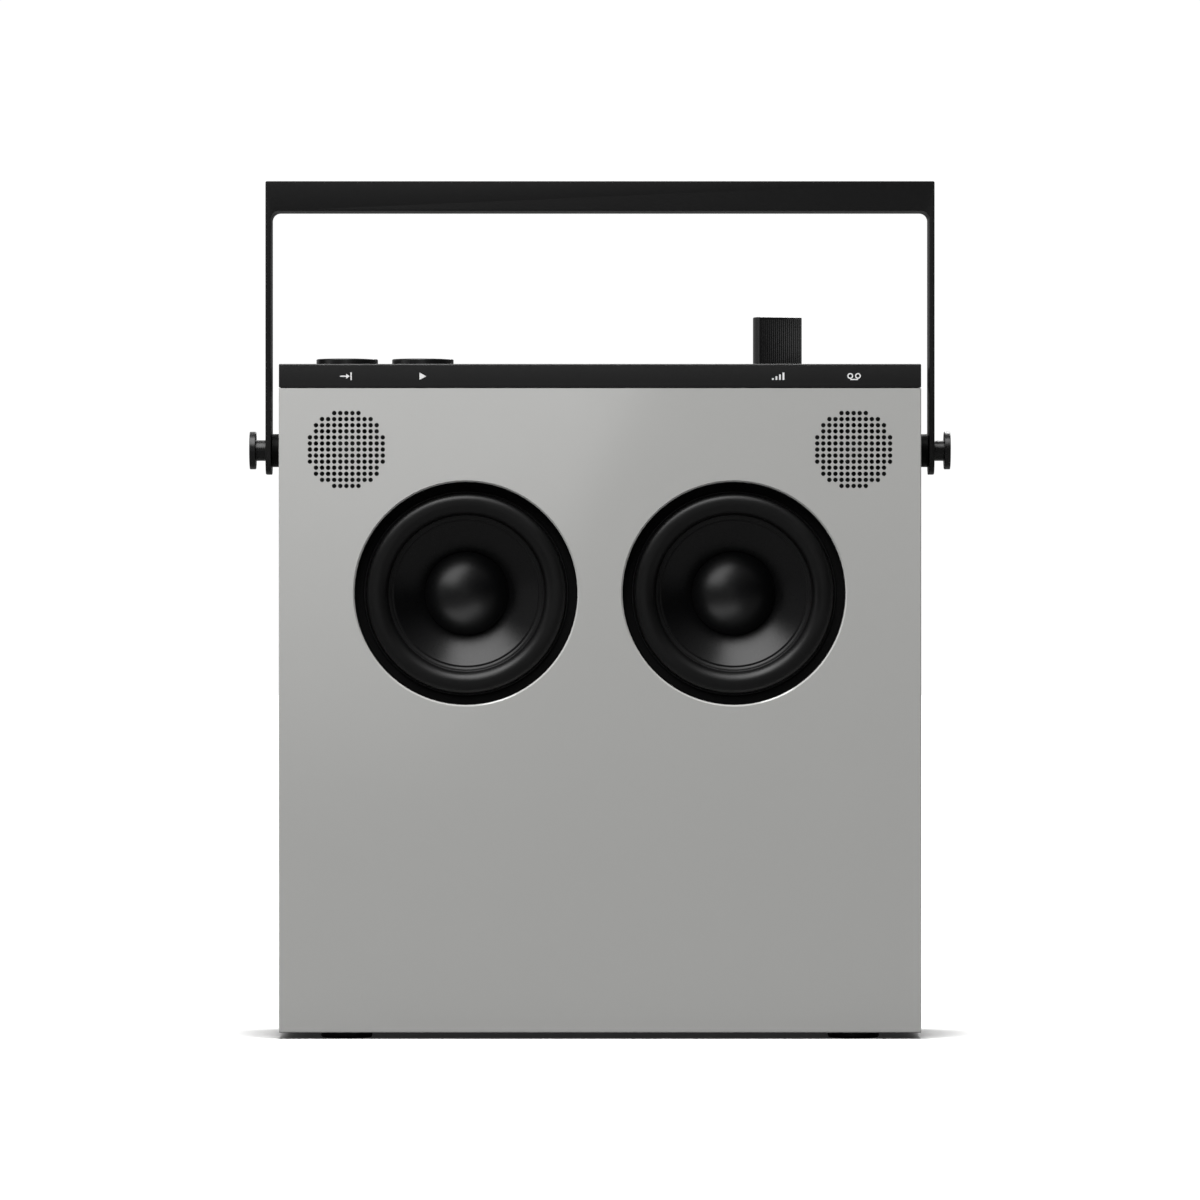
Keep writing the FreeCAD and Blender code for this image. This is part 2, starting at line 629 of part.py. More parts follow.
def gear(teeth, phase, low, high, x, y):
    """A spur gear with straight-flanked thin teeth, which leave backlash on both sides."""
    pitch_r = GEAR_MODULE * teeth / 2
    root_r = pitch_r - 1.3 * GEAR_MODULE
    tip_r = pitch_r + 0.85 * GEAR_MODULE
    step = 2 * math.pi / teeth
    points = []
    for k in range(teeth):
        corners = [(root_r, -TOOTH_ROOT_HALF), (tip_r, -TOOTH_TIP_HALF)]
        corners += [(tip_r, TOOTH_TIP_HALF), (root_r, TOOTH_ROOT_HALF)]
        for r, half in corners:
            a = phase + k * step + half / r
            points.append(Vector(x + r * math.cos(a), y + r * math.sin(a), low))
    wire = Part.makePolygon(points + points[:1])
    return Part.Face(wire).extrude(Vector(0, 0, high - low))


def make_volume_drive():
    shaft = rod_z(SHAFT_R, 200.0, 218.0, KNOB_X, 0)
    tip = rod_z(SHAFT_R - 1.0, 217.5, 232.0, KNOB_X, 0)
    export(join([shaft, tip]), "volume_shaft")
    wheel = gear(GEAR_TEETH, math.pi, 213.2, 215.6, KNOB_X, 0)
    export(wheel.cut(rod_z(SHAFT_R + 0.02, 213.0, 216.0, KNOB_X, 0)), "volume_gear")
    motor_x = KNOB_X - GEAR_CENTRES
    pinion = gear(PINION_TEETH, math.pi / PINION_TEETH, 213.0, 215.8, motor_x, 0)
    spindle = rod_z(0.8, 206.0, 213.5, motor_x, 0)
    export(join([pinion, spindle]), "motor_pinion")
    motor = rod_z(6.0, 189.0, DECK_BOTTOM, motor_x, 0).cut(rod_z(0.85, 205.0, 208.0, motor_x, 0))
    export(motor, "volume_motor")
    case = box(KNOB_X - 6.0, KNOB_X + 6.0, -6.0, 6.0, 198.8, DECK_BOTTOM)
    pot = join([case, rod_z(3.9, 206.0, 212.4, KNOB_X, 0)])
    export(pot.cut(rod_z(SHAFT_R + RUNNING, 199.9, 213.0, KNOB_X, 0)), "volume_potentiometer")


def make_tape_drive():
    disc = rod_z(TAPE_R, 218.35, TAPE_TOP, TAPE_X, 0)
    disc = disc.makeFillet(0.3, [e for e in disc.Edges if e.BoundBox.ZMin > TAPE_TOP - 0.1])
    dimple = Part.makeSphere(5.0, Vector(TAPE_X, -6.0, TAPE_TOP + 4.2))
    spindle = rod_z(1.5, 212.6, 218.6, TAPE_X, 0)
    export(join([disc.cut(dimple), spindle]), "tape_disc")
    rotor = tube_z(9.4, 8.6, 212.5, 217.4, TAPE_X, 0)
    top = tube_z(9.4, 1.52, 216.6, 217.4, TAPE_X, 0)
    export(join([rotor, top]), "tape_rotor")
    stator = join([rod_z(8.2, 212.2, 216.2, TAPE_X, 0), rod_z(5.0, BOARD_TOP, 212.5, TAPE_X, 0)])
    export(stator.cut(rod_z(1.5 + RUNNING, 212.5, 217.0, TAPE_X, 0)), "tape_stator")


def make_control_board():
    board = box(-98.0, 98.0, -13.0, 13.0, BOARD_BOTTOM, BOARD_TOP)
    cuts = [rod_z(4.1, 210.0, 212.0, KNOB_X, 0), rod_z(3.0, 210.0, 212.0, KNOB_X - GEAR_CENTRES, 0)]
    for x, y in BOARD_PEGS:
        cuts.append(rod_z(1.3, 210.0, 212.0, x, y))
    board = board.cut(Part.makeCompound(cuts))
    chips = [box(-20, -10, -4, 4, BOARD_TOP, 213.0), box(10, 24, -5, 5, BOARD_TOP, 213.2)]
    export(join([board] + chips), "control_board")


def make_battery():
    stadium = [
        rod_x(PACK_R, -PACK_HALF_X, PACK_HALF_X, PACK_Y, PACK_Z - PACK_R),
        rod_x(PACK_R, -PACK_HALF_X, PACK_HALF_X, PACK_Y, PACK_Z + PACK_R),
        box(-PACK_HALF_X, PACK_HALF_X, PACK_Y - PACK_R, PACK_Y + PACK_R, PACK_Z - PACK_R, PACK_Z + PACK_R),
    ]
    pack = join(stadium)
    export(pack, "battery_pack")
    low = SHELL_BOTTOM + WALL + 5.2
    high = PACK_Z + 2 * PACK_R + 0.1
    web_y = PACK_Y + PACK_R + 0.1
    web = box(-48, 48, web_y, web_y + 1.5, low, high + 1.5)
    hood = box(-48, 48, -22.5, web_y + 1.5, high, high + 1.5)
    tab = box(-44, 44, -22.5, -21.0, high, BRACKET_SCREW_Z + 4)
    bracket = join([web, hood, tab])
    holes = [rod_y(1.4, -24, -20, x, BRACKET_SCREW_Z) for x in (-BRACKET_SCREW_X, BRACKET_SCREW_X)]
    export(bracket.cut(Part.makeCompound(holes)), "battery_bracket")


def make_main_board():
    board = box(-66, 66, -10.0, -8.4, 62.0, 102.0)
    spots = [(x * side, z) for x, z in BOARD_STANDOFFS for side in (-1, 1)]
    holes = [rod_y(1.4, -12, -8, x, z) for x, z in spots]
    parts = [
        board.cut(Part.makeCompound(holes)),
        box(-50, -22, -8.6, 4.0, 68, 92),
        rod_y(5.0, -8.6, 4.0, 35, 75),
        rod_y(5.0, -8.6, 4.0, 48, 75),
        box(-12, 12, -8.6, -6.5, 70, 88),
        box(20, 30, -8.6, -5.0, 86, 97),
    ]
    export(join(parts), "main_board")


def socket_screw(x, z):
    return join([rod_y(1.2, 19.2, 23.5, x, z), rod_y(2.2, 17.7, 19.3, x, z)])


def make_sockets():
    plate = box(
        -PLATE_HALF_X,
        PLATE_HALF_X,
        COVER_INNER_Y + 0.3,
        CAB_Y - 0.3,
        SOCKET_Z - PLATE_HALF_Z,
        SOCKET_Z + PLATE_HALF_Z,
    )
    rim = box(-28.5, 28.5, 25.0, 25.95, SOCKET_Z - 9.6, SOCKET_Z + 9.6)
    neck = box(-25.0, 25.0, 25.5, 27.0, SOCKET_Z - 7.5, SOCKET_Z + 7.5)
    plate = join([plate, rim, neck])
    usb_hole = box(-SOCKET_X - 4.5, -SOCKET_X + 4.5, 20, 30, SOCKET_Z - 1.7, SOCKET_Z + 1.7)
    usb_hole = usb_hole.makeFillet(1.6, [e for e in usb_hole.Edges if e.BoundBox.YLength > 5])
    jack_hole = rod_y(3.05, 20, 30, SOCKET_X, SOCKET_Z)
    export(plate.cut(usb_hole).cut(jack_hole), "connector_plate")
    usb = box(-SOCKET_X - 4.4, -SOCKET_X + 4.4, 20.55, 28.0, SOCKET_Z - 1.6, SOCKET_Z + 1.6)
    usb = usb.makeFillet(1.5, [e for e in usb.Edges if e.BoundBox.YLength > 5])
    mouth = box(-SOCKET_X - 4.1, -SOCKET_X + 4.1, 22.0, 29.0, SOCKET_Z - 1.3, SOCKET_Z + 1.3)
    mouth = mouth.makeFillet(1.2, [e for e in mouth.Edges if e.BoundBox.YLength > 5])
    tab = box(-SOCKET_X - 3.2, -SOCKET_X + 3.2, 21.5, 27.2, SOCKET_Z - 0.3, SOCKET_Z + 0.3)
    export(join([usb.cut(mouth), tab]), "usb_socket")
    barrel = join([rod_y(3.0, 15.0, 28.2, SOCKET_X, SOCKET_Z), box(6.5, 17.5, 20.55, 24.9, 57.0, 67.0)])
    export(barrel.cut(rod_y(JACK_R, 16.0, 29.0, SOCKET_X, SOCKET_Z)), "line_socket")
    board = box(-27.0, 27.0, 19.3, 20.5, SOCKET_Z - 16, SOCKET_Z + 16)
    cuts = [rod_y(3.1, 18, 22, SOCKET_X, SOCKET_Z)]
    screws = []
    for x in (-SOCKET_X - 8.0, SOCKET_X + 8.0):
        for z in (SOCKET_Z - 12.5, SOCKET_Z + 12.5):
            cuts.append(rod_y(1.4, 18, 22, x, z))
            screws.append(socket_screw(x, z))
    export(board.cut(Part.makeCompound(cuts)), "socket_board")
    return screws


def make_screws(socket_screws):
    cover = [cover_screw(x, z) for x, z in post_places()]
    export(Part.makeCompound(cover), "cover_screws")
    panel = []
    for x in PANEL_SCREWS_X:
        panel += [panel_screw(x, -PANEL_SCREWS_Y), panel_screw(x, PANEL_SCREWS_Y)]
    export(Part.makeCompound(panel), "panel_screws")
    small = list(socket_screws)
    for x, z in BOARD_STANDOFFS:
        screw = join([rod_y(1.2, -15.0, -8.0, x, z), rod_y(2.2, -8.4, -7.0, x, z)])
        small += both(screw)
    shank = rod_y(1.2, -26.5, -20.8, BRACKET_SCREW_X, BRACKET_SCREW_Z)
    bracket = join([shank, rod_y(2.2, -21.0, -19.6, BRACKET_SCREW_X, BRACKET_SCREW_Z)])
    small += both(bracket)
    export(Part.makeCompound(small), "board_screws")


os.makedirs("parts", exist_ok=True)
make_shell()
make_rear_cover()
make_top_panel()
make_feet()
make_pivot_hardware()
make_handle()
make_drivers()
make_buttons()
make_knob()
make_volume_drive()
make_tape_drive()
make_control_board()
make_battery()
make_main_board()
make_screws(make_sockets())
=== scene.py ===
import json
import math

import bmesh
import bpy
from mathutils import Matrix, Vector


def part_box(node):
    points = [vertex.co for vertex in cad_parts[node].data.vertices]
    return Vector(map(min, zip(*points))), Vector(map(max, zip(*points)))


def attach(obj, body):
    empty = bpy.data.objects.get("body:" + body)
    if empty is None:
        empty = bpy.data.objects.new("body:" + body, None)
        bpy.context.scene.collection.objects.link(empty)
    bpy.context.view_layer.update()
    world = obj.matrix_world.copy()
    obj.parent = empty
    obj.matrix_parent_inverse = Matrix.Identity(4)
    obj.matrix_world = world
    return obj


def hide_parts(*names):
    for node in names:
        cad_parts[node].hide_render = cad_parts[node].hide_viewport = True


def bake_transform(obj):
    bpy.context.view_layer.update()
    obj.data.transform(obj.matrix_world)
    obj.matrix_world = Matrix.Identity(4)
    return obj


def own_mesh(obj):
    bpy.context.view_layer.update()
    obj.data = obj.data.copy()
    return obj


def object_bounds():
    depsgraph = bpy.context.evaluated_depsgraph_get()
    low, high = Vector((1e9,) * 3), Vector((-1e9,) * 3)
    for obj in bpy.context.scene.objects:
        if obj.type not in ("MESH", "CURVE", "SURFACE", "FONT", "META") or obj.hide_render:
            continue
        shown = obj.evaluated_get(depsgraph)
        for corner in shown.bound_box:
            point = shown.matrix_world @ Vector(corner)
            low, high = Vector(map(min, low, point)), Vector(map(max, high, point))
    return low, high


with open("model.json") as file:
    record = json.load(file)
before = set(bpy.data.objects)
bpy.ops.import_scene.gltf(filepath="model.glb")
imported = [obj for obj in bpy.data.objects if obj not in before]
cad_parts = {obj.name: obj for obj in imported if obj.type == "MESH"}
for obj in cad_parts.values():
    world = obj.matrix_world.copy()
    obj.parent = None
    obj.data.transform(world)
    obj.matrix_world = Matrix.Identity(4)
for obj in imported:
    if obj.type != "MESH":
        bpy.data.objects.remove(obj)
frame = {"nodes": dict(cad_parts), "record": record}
cad_lo, cad_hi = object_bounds()

MM = 0.001
NODES = frame["nodes"]
SIDES = ("left", "right")


def to_mm(value):
    return value / MM


def to_metres(points):
    return [(u * MM, v * MM) for u, v in points]


# ---------------------------------------------------------------- node helpers

def node(tree, kind, **values):
    made = tree.nodes.new(kind)
    for name, value in values.items():
        setattr(made, name, value)
    return made


def cleared(owner):
    """The emptied node tree of a material or world, and the function that links its sockets."""
    owner.use_nodes = True
    owner.node_tree.nodes.clear()
    return owner.node_tree, owner.node_tree.links.new


def mapped(tree, value, source, target, smooth=True):
    """Maps a value from one span to another and holds it at the ends."""
    made = node(tree, "ShaderNodeMapRange", interpolation_type="SMOOTHSTEP" if smooth else "LINEAR")
    for name, limit in zip(("From Min", "From Max", "To Min", "To Max"), (*source, *target)):
        made.inputs[name].default_value = limit
    tree.links.new(value, made.inputs["Value"])
    return made.outputs[0]


def combined(tree, operation, a, b):
    """A math node over two inputs, each a socket or a number."""
    made = node(tree, "ShaderNodeMath", operation=operation)
    for socket, value in zip(made.inputs, (a, b)):
        if isinstance(value, (int, float)):
            socket.default_value = value
        else:
            tree.links.new(value, socket)
    return made.outputs[0]


def stage_material(name, fill):
    """A material for the studio's own surfaces. The function adds its nodes and returns the last one."""
    material = bpy.data.materials.new(name)
    tree, wire = cleared(material)
    out = node(tree, "ShaderNodeOutputMaterial")
    wire(fill(tree, wire).outputs[0], out.inputs["Surface"])
    return material


# ---------------------------------------------------------------- camera, light and floor

CAMERA_PLACE = Vector((0.0, -2.5285, 0.1432))
LENS = 229.9
SENSOR_WIDTH = 36.0
FRONT_Y = cad_lo.y
FLOOR_RADIUS = 9.0

# The lit card stands this far behind the lens, in metres. Its outline and the heights between which it
# fades are given as its reflection shows on the cabinet's front, in millimetres across and up.
CARD_BEHIND_LENS = 0.09
CARD_OUTLINE = ((-220, 460), (120, 460), (11.5, 210), (-47, 91), (-62, 60), (-220, 60))
CARD_FADE_BELOW = (66, 205)
CARD_FADE_ABOVE = (225, 265)

bpy.context.scene.view_settings.view_transform = "Standard"


def link(obj):
    bpy.context.scene.collection.objects.link(obj)
    return obj


def make_camera():
    data = bpy.data.cameras.new("camera")
    data.lens = LENS
    data.sensor_width = SENSOR_WIDTH
    data.clip_start, data.clip_end = 0.05, 60.0
    camera = link(bpy.data.objects.new("camera", data))
    camera.location = CAMERA_PLACE
    camera.rotation_euler = (math.radians(90), 0, 0)
    bpy.context.scene.camera = camera


def softbox(name, place, target, size, radiance):
    """A rectangular light, sized across and up, that the lens doesn't see."""
    data = bpy.data.lights.new(name, "AREA")
    data.shape = "RECTANGLE"
    data.size, data.size_y = size
    data.energy = radiance * math.pi * size[0] * size[1]
    light = link(bpy.data.objects.new(name, data))
    light.location = place
    aim = Vector(target) - Vector(place)
    light.rotation_euler = aim.to_track_quat("-Z", "Y").to_euler()
    light.visible_camera = False
    return light


def only_lights(light, objects, state):
    """Limits a light to these objects, or keeps it off them."""
    group = bpy.data.collections.new(light.name + "_reach")
    for obj in objects:
        group.objects.link(obj)
    for entry in group.collection_objects:
        entry.light_linking.link_state = state
    light.light_linking.receiver_collection = group


def make_world(front, rear, overhead, right, seen):
    """A dim room in front of the object and a bright one behind it, duller to the right.
    The lens sees white."""
    world = bpy.data.worlds.new("studio")
    bpy.context.scene.world = world
    tree, wire = cleared(world)
    split = node(tree, "ShaderNodeSeparateXYZ")
    wire(node(tree, "ShaderNodeTexCoord").outputs["Generated"], split.inputs[0])
    depth = mapped(tree, split.outputs["Y"], (-0.4, 0.5), (front, rear))
    across = mapped(tree, split.outputs["X"], (-0.3, 0.6), (1.0, right))
    up = mapped(tree, split.outputs["Z"], (0.25, 0.95), (0.0, overhead))
    path = node(tree, "ShaderNodeLightPath")
    pick = node(tree, "ShaderNodeMix", data_type="FLOAT")
    pick.inputs["B"].default_value = seen
    background = node(tree, "ShaderNodeBackground")
    background.inputs["Color"].default_value = (1, 1, 1, 1)
    out = node(tree, "ShaderNodeOutputWorld")
    wire(path.outputs["Is Camera Ray"], pick.inputs["Factor"])
    wire(combined(tree, "ADD", combined(tree, "MULTIPLY", depth, across), up), pick.inputs["A"])
    wire(pick.outputs[0], background.inputs["Strength"])
    wire(background.outputs[0], out.inputs["Surface"])


def make_floor(seen, bounced):
    """A white floor that the lens sees brighter than the object does, so only the contact shadow is grey.
    Away from the object it glows, and runs into the white backdrop without a line."""
    bm = bmesh.new()
    bmesh.ops.create_circle(bm, cap_ends=True, segments=96, radius=FLOOR_RADIUS)
    mesh = bpy.data.meshes.new("floor")
    bm.to_mesh(mesh)
    bm.free()
    made = link(bpy.data.objects.new("floor", mesh))

    def fill(tree, wire):
        path = node(tree, "ShaderNodeLightPath")
        pick = node(tree, "ShaderNodeMix", data_type="RGBA")
        pick.inputs["A"].default_value = (bounced, bounced, bounced, 1)
        pick.inputs["B"].default_value = (seen, seen, seen * 0.995, 1)
        diffuse = node(tree, "ShaderNodeBsdfDiffuse")
        length = node(tree, "ShaderNodeVectorMath", operation="LENGTH")
        glow = node(tree, "ShaderNodeEmission")
        both = node(tree, "ShaderNodeAddShader")
        wire(path.outputs["Is Camera Ray"], pick.inputs["Factor"])
        wire(pick.outputs["Result"], diffuse.inputs["Color"])
        wire(node(tree, "ShaderNodeTexCoord").outputs["Object"], length.inputs[0])
        far = mapped(tree, length.outputs["Value"], (0.2, 0.75), (0.018, 1.0))
        wire(combined(tree, "MULTIPLY", far, path.outputs["Is Camera Ray"]), glow.inputs["Strength"])
        wire(diffuse.outputs[0], both.inputs[0])
        wire(glow.outputs[0], both.inputs[1])
        return both

    mesh.materials.append(stage_material("white_floor", fill))
    return made


def make_card(radiance):
    """A lit card beside the lens. Its slanted edge shows as the soft diagonal sheen on the cabinet."""
    card_y = CAMERA_PLACE.y - CARD_BEHIND_LENS
    stretch = 1 + (FRONT_Y - card_y) / (FRONT_Y - CAMERA_PLACE.y)
    eye = CAMERA_PLACE.z

    def height(z):
        return eye + (z * MM - eye) * stretch

    corners = [(x * MM * stretch, card_y, height(z)) for x, z in CARD_OUTLINE]
    mesh = bpy.data.meshes.new("card")
    mesh.from_pydata(corners, [], [tuple(range(len(corners)))])
    card = link(bpy.data.objects.new("card", mesh))

    def fill(tree, wire):
        split = node(tree, "ShaderNodeSeparateXYZ")
        wire(node(tree, "ShaderNodeTexCoord").outputs["Object"], split.inputs[0])
        up = split.outputs["Z"]
        below = mapped(tree, up, [height(z) for z in CARD_FADE_BELOW], (0.0, radiance), smooth=False)
        above = mapped(tree, up, [height(z) for z in CARD_FADE_ABOVE], (1.0, 0.3), smooth=False)
        glow = node(tree, "ShaderNodeEmission")
        wire(combined(tree, "MULTIPLY", below, above), glow.inputs["Strength"])
        return glow

    mesh.materials.append(stage_material("card_light", fill))
    card.visible_camera = False
    card.visible_shadow = False


make_camera()
make_world(front=0.04, rear=0.34, overhead=0.35, right=0.3, seen=1.03)
floor = make_floor(seen=1.0, bounced=0.16)
make_card(radiance=1.9)
key = softbox("key", (-0.28, -0.5, 1.15), (0, 0, 0.15), size=(1.05, 0.95), radiance=7.3)
rear = softbox("rear", (0.35, 0.95, 1.0), (0, 0, 0.12), size=(0.9, 0.6), radiance=7.0)
left_card = softbox("left_card", (-1.05, -0.12, 0.3), (0, -0.02, 0.2), size=(0.9, 0.6), radiance=0.6)
for light in (rear, left_card):
    only_lights(light, [floor], "EXCLUDE")
floor_light = softbox("floor_light", (0, -0.05, 1.75), (0, -0.03, 0), size=(0.3, 0.3), radiance=185)
only_lights(floor_light, [floor], "INCLUDE")


# ---------------------------------------------------------------- materials

# A wave texture of scale 1 repeats this many times a metre.
WAVES_PER_SCALE = 3.18


def ramp(tree, low, high):
    made = node(tree, "ShaderNodeValToRGB")
    made.color_ramp.elements[0].color = (*low, 1)
    made.color_ramp.elements[1].color = (*high, 1)
    return made


def tinted(colour, share):
    return tuple(min(1.0, c * (1 + share)) for c in colour)


class Surface:
    """A principled material whose colour, roughness and bump come from noise in the object's own space."""

    def __init__(self, name, colour, roughness, metallic=0.0, specular=0.5):
        self.material = bpy.data.materials.new(name)
        self.material.diffuse_color = (*colour, 1)
        self.tree, self.wire = cleared(self.material)
        self.bsdf = node(self.tree, "ShaderNodeBsdfPrincipled")
        self.bsdf.inputs["Base Color"].default_value = (*colour, 1)
        self.bsdf.inputs["Roughness"].default_value = roughness
        self.bsdf.inputs["Metallic"].default_value = metallic
        self.bsdf.inputs["Specular IOR Level"].default_value = specular
        self.colour = colour
        out = node(self.tree, "ShaderNodeOutputMaterial")
        self.wire(self.bsdf.outputs[0], out.inputs["Surface"])
        self.place = node(self.tree, "ShaderNodeTexCoord").outputs["Object"]
        self.height = None

    def noise(self, per_metre, detail=3.0, rough=0.5, scale=(1, 1, 1)):
        mapping = node(self.tree, "ShaderNodeMapping")
        mapping.inputs["Scale"].default_value = scale
        made = node(self.tree, "ShaderNodeTexNoise")
        made.inputs["Scale"].default_value = per_metre
        made.inputs["Detail"].default_value = detail
        made.inputs["Roughness"].default_value = rough
        self.wire(self.place, mapping.inputs["Vector"])
        self.wire(mapping.outputs[0], made.inputs["Vector"])
        return made.outputs["Fac"]

    def cells(self, per_metre):
        made = node(self.tree, "ShaderNodeTexVoronoi")
        made.inputs["Scale"].default_value = per_metre
        self.wire(self.place, made.inputs["Vector"])
        return made.outputs["Distance"]

    def bands(self, per_metre, direction, distortion=0.0):
        """Straight ridges across one axis. A band repeats every 1 / per_metre."""
        made = node(self.tree, "ShaderNodeTexWave", bands_direction=direction)
        made.inputs["Scale"].default_value = per_metre / WAVES_PER_SCALE
        made.inputs["Distortion"].default_value = distortion
        made.inputs["Detail"].default_value = 0.0
        self.wire(self.place, made.inputs["Vector"])
        return made.outputs["Fac"]

    def radius(self, centre, axis):
        """Distance from an axis through centre, for turned marks and windings."""
        shift = node(self.tree, "ShaderNodeVectorMath", operation="SUBTRACT")
        shift.inputs[1].default_value = centre
        keep = node(self.tree, "ShaderNodeVectorMath", operation="MULTIPLY")
        keep.inputs[1].default_value = {"X": (0, 1, 1), "Y": (1, 0, 1), "Z": (1, 1, 0)}[axis]
        length = node(self.tree, "ShaderNodeVectorMath", operation="LENGTH")
        self.wire(self.place, shift.inputs[0])
        self.wire(shift.outputs[0], keep.inputs[0])
        self.wire(keep.outputs[0], length.inputs[0])
        return length.outputs["Value"]

    def waves(self, value, per_metre):
        """A sine of any value: rings from a radius."""
        scaled = node(self.tree, "ShaderNodeMath", operation="MULTIPLY")
        scaled.inputs[1].default_value = per_metre * 2 * math.pi
        sine = node(self.tree, "ShaderNodeMath", operation="SINE")
        half = node(self.tree, "ShaderNodeMath", operation="MULTIPLY_ADD")
        half.inputs[1].default_value = 0.5
        half.inputs[2].default_value = 0.5
        self.wire(value, scaled.inputs[0])
        self.wire(scaled.outputs[0], sine.inputs[0])
        self.wire(sine.outputs[0], half.inputs[0])
        return half.outputs[0]

    def math(self, operation, a, b):
        return combined(self.tree, operation, a, b)

    def vary_colour(self, value, low, high):
        """Paints the base colour between two tints of itself."""
        made = ramp(self.tree, tinted(self.colour, low), tinted(self.colour, high))
        self.wire(value, made.inputs["Fac"])
        self.wire(made.outputs[0], self.bsdf.inputs["Base Color"])

    def two_colours(self, value, low, high, start=0.45, end=0.55):
        made = ramp(self.tree, low, high)
        made.color_ramp.elements[0].position = start
        made.color_ramp.elements[1].position = end
        self.wire(value, made.inputs["Fac"])
        self.wire(made.outputs[0], self.bsdf.inputs["Base Color"])

    def vary_roughness(self, value, low, high):
        made = mapped(self.tree, value, (0.25, 0.75), (low, high), smooth=False)
        self.wire(made, self.bsdf.inputs["Roughness"])

    def bump(self, value, distance):
        """Adds relief of that depth in metres on top of what is there."""
        made = node(self.tree, "ShaderNodeBump")
        made.inputs["Distance"].default_value = distance
        made.inputs["Strength"].default_value = 1.0
        self.wire(value, made.inputs["Height"])
        if self.height is not None:
            self.wire(self.height, made.inputs["Normal"])
        self.height = made.outputs[0]
        self.wire(self.height, self.bsdf.inputs["Normal"])


def shell_paint(name, roughness):
    made = Surface(name, (0.468, 0.468, 0.456), roughness)
    made.vary_colour(made.noise(22, 2), -0.012, 0.012)
    made.vary_roughness(made.noise(60, 4, 0.6), roughness - 0.012, roughness + 0.014)
    made.bump(made.noise(420, 1), 0.0000012)
    return made.material


def moulded(name, colour, roughness, grain=2600, depth=0.000006, specular=0.5):
    made = Surface(name, colour, roughness, specular=specular)
    fine = made.noise(grain, 2, 0.6)
    made.vary_colour(made.noise(180, 4), -0.1, 0.12)
    made.vary_roughness(fine, roughness - 0.06, roughness + 0.06)
    made.bump(fine, depth)
    return made.material


def turned(name, colour, roughness, centre, axis, rings=2500, depth=0.000003, specular=0.5):
    """A surface off a lathe: fine rings about its axis, broken by a little grain."""
    made = Surface(name, colour, roughness, specular=specular)
    radius = made.radius(centre, axis)
    ring = made.waves(radius, rings)
    grain = made.noise(1800, 3, 0.6)
    made.vary_colour(made.noise(260, 4), -0.1, 0.12)
    made.vary_roughness(grain, roughness - 0.05, roughness + 0.07)
    relief = made.math("ADD", made.math("MULTIPLY", ring, 0.6), made.math("MULTIPLY", grain, 0.4))
    made.bump(relief, depth)
    return made.material


def brushed(name, colour, roughness):
    """Metal with streaks across its X direction."""
    made = Surface(name, colour, roughness, metallic=1.0)
    streak = made.noise(900, 4, 0.6, scale=(30, 1, 1))
    made.vary_colour(streak, -0.12, 0.1)
    made.vary_roughness(streak, roughness - 0.08, roughness + 0.12)
    made.bump(streak, 0.000003)
    return made.material


def rubber(name, colour=(0.0022, 0.0022, 0.0023), roughness=0.4, specular=0.3):
    made = Surface(name, colour, roughness, specular=specular)
    fine = made.noise(3800, 2, 0.7)
    made.vary_colour(made.noise(300, 4), -0.15, 0.2)
    made.vary_roughness(made.noise(90, 3), roughness - 0.04, roughness + 0.05)
    made.bump(fine, 0.000005)
    return made.material


def cone_paper(name, centre, roughness=0.3):
    """Coated pulp: short fibres in every direction under a thin coat, with faint rings."""
    made = Surface(name, (0.0016, 0.0016, 0.0018), roughness, specular=0.27)
    fibre = made.noise(2400, 4, 0.7)
    rings = made.waves(made.radius(centre, "Y"), 1600)
    made.vary_colour(made.noise(700, 5, 0.7), -0.2, 0.3)
    made.vary_roughness(fibre, roughness - 0.05, roughness + 0.06)
    made.bump(fibre, 0.000005)
    made.bump(rings, 0.0000015)
    return made.material


def woven(name, colour, threads, roughness, depth):
    """Cloth in the plane of the front: threads per metre, crossing at right angles."""
    made = Surface(name, colour, roughness)
    made.bsdf.inputs["Sheen Weight"].default_value = 0.2
    cross = made.math("MULTIPLY", made.bands(threads, "X"), made.bands(threads, "Z"))
    # The colour follows the weave: darker in the gaps between the threads (painted shade) and lighter
    # where they cross on top (painted highlight).
    made.vary_colour(cross, -0.35, 0.2)
    made.vary_roughness(made.noise(900, 3), roughness - 0.08, roughness + 0.08)
    made.bump(cross, depth)
    return made.material


def circuit_board(name):
    made = Surface(name, (0.012, 0.085, 0.04), 0.35)
    tracks = made.bands(420, "DIAGONAL", distortion=6.0)
    pads = made.cells(330)
    made.two_colours(tracks, (0.008, 0.06, 0.028), (0.02, 0.13, 0.06), 0.3, 0.6)
    made.vary_roughness(made.noise(200, 3), 0.25, 0.42)
    made.bump(tracks, 0.00002)
    made.bump(pads, 0.00001)
    return made.material


def winding(name, per_metre):
    made = Surface(name, (0.55, 0.2, 0.06), 0.32, 1.0)
    wire = made.bands(per_metre, "Y")
    # The colour follows the wire's ridges: darker in the gaps between the turns (painted shade) and
    # lighter on their crests (painted highlight).
    made.vary_colour(wire, -0.45, 0.15)
    made.vary_roughness(made.noise(500, 3), 0.25, 0.42)
    made.bump(wire, 0.00005)
    return made.material


def speckled(name, colour, roughness):
    made = Surface(name, colour, roughness)
    grain = made.noise(1300, 5, 0.75)
    made.vary_colour(grain, -0.4, 0.5)
    made.vary_roughness(grain, roughness - 0.1, roughness + 0.12)
    made.bump(grain, 0.00003)
    return made.material


def shrink_film(name):
    made = Surface(name, (0.035, 0.055, 0.17), 0.3)
    folds = made.noise(160, 4, 0.6, scale=(0.3, 1, 1))
    made.vary_colour(folds, -0.12, 0.15)
    made.vary_roughness(folds, 0.22, 0.42)
    made.bump(folds, 0.00025)
    return made.material


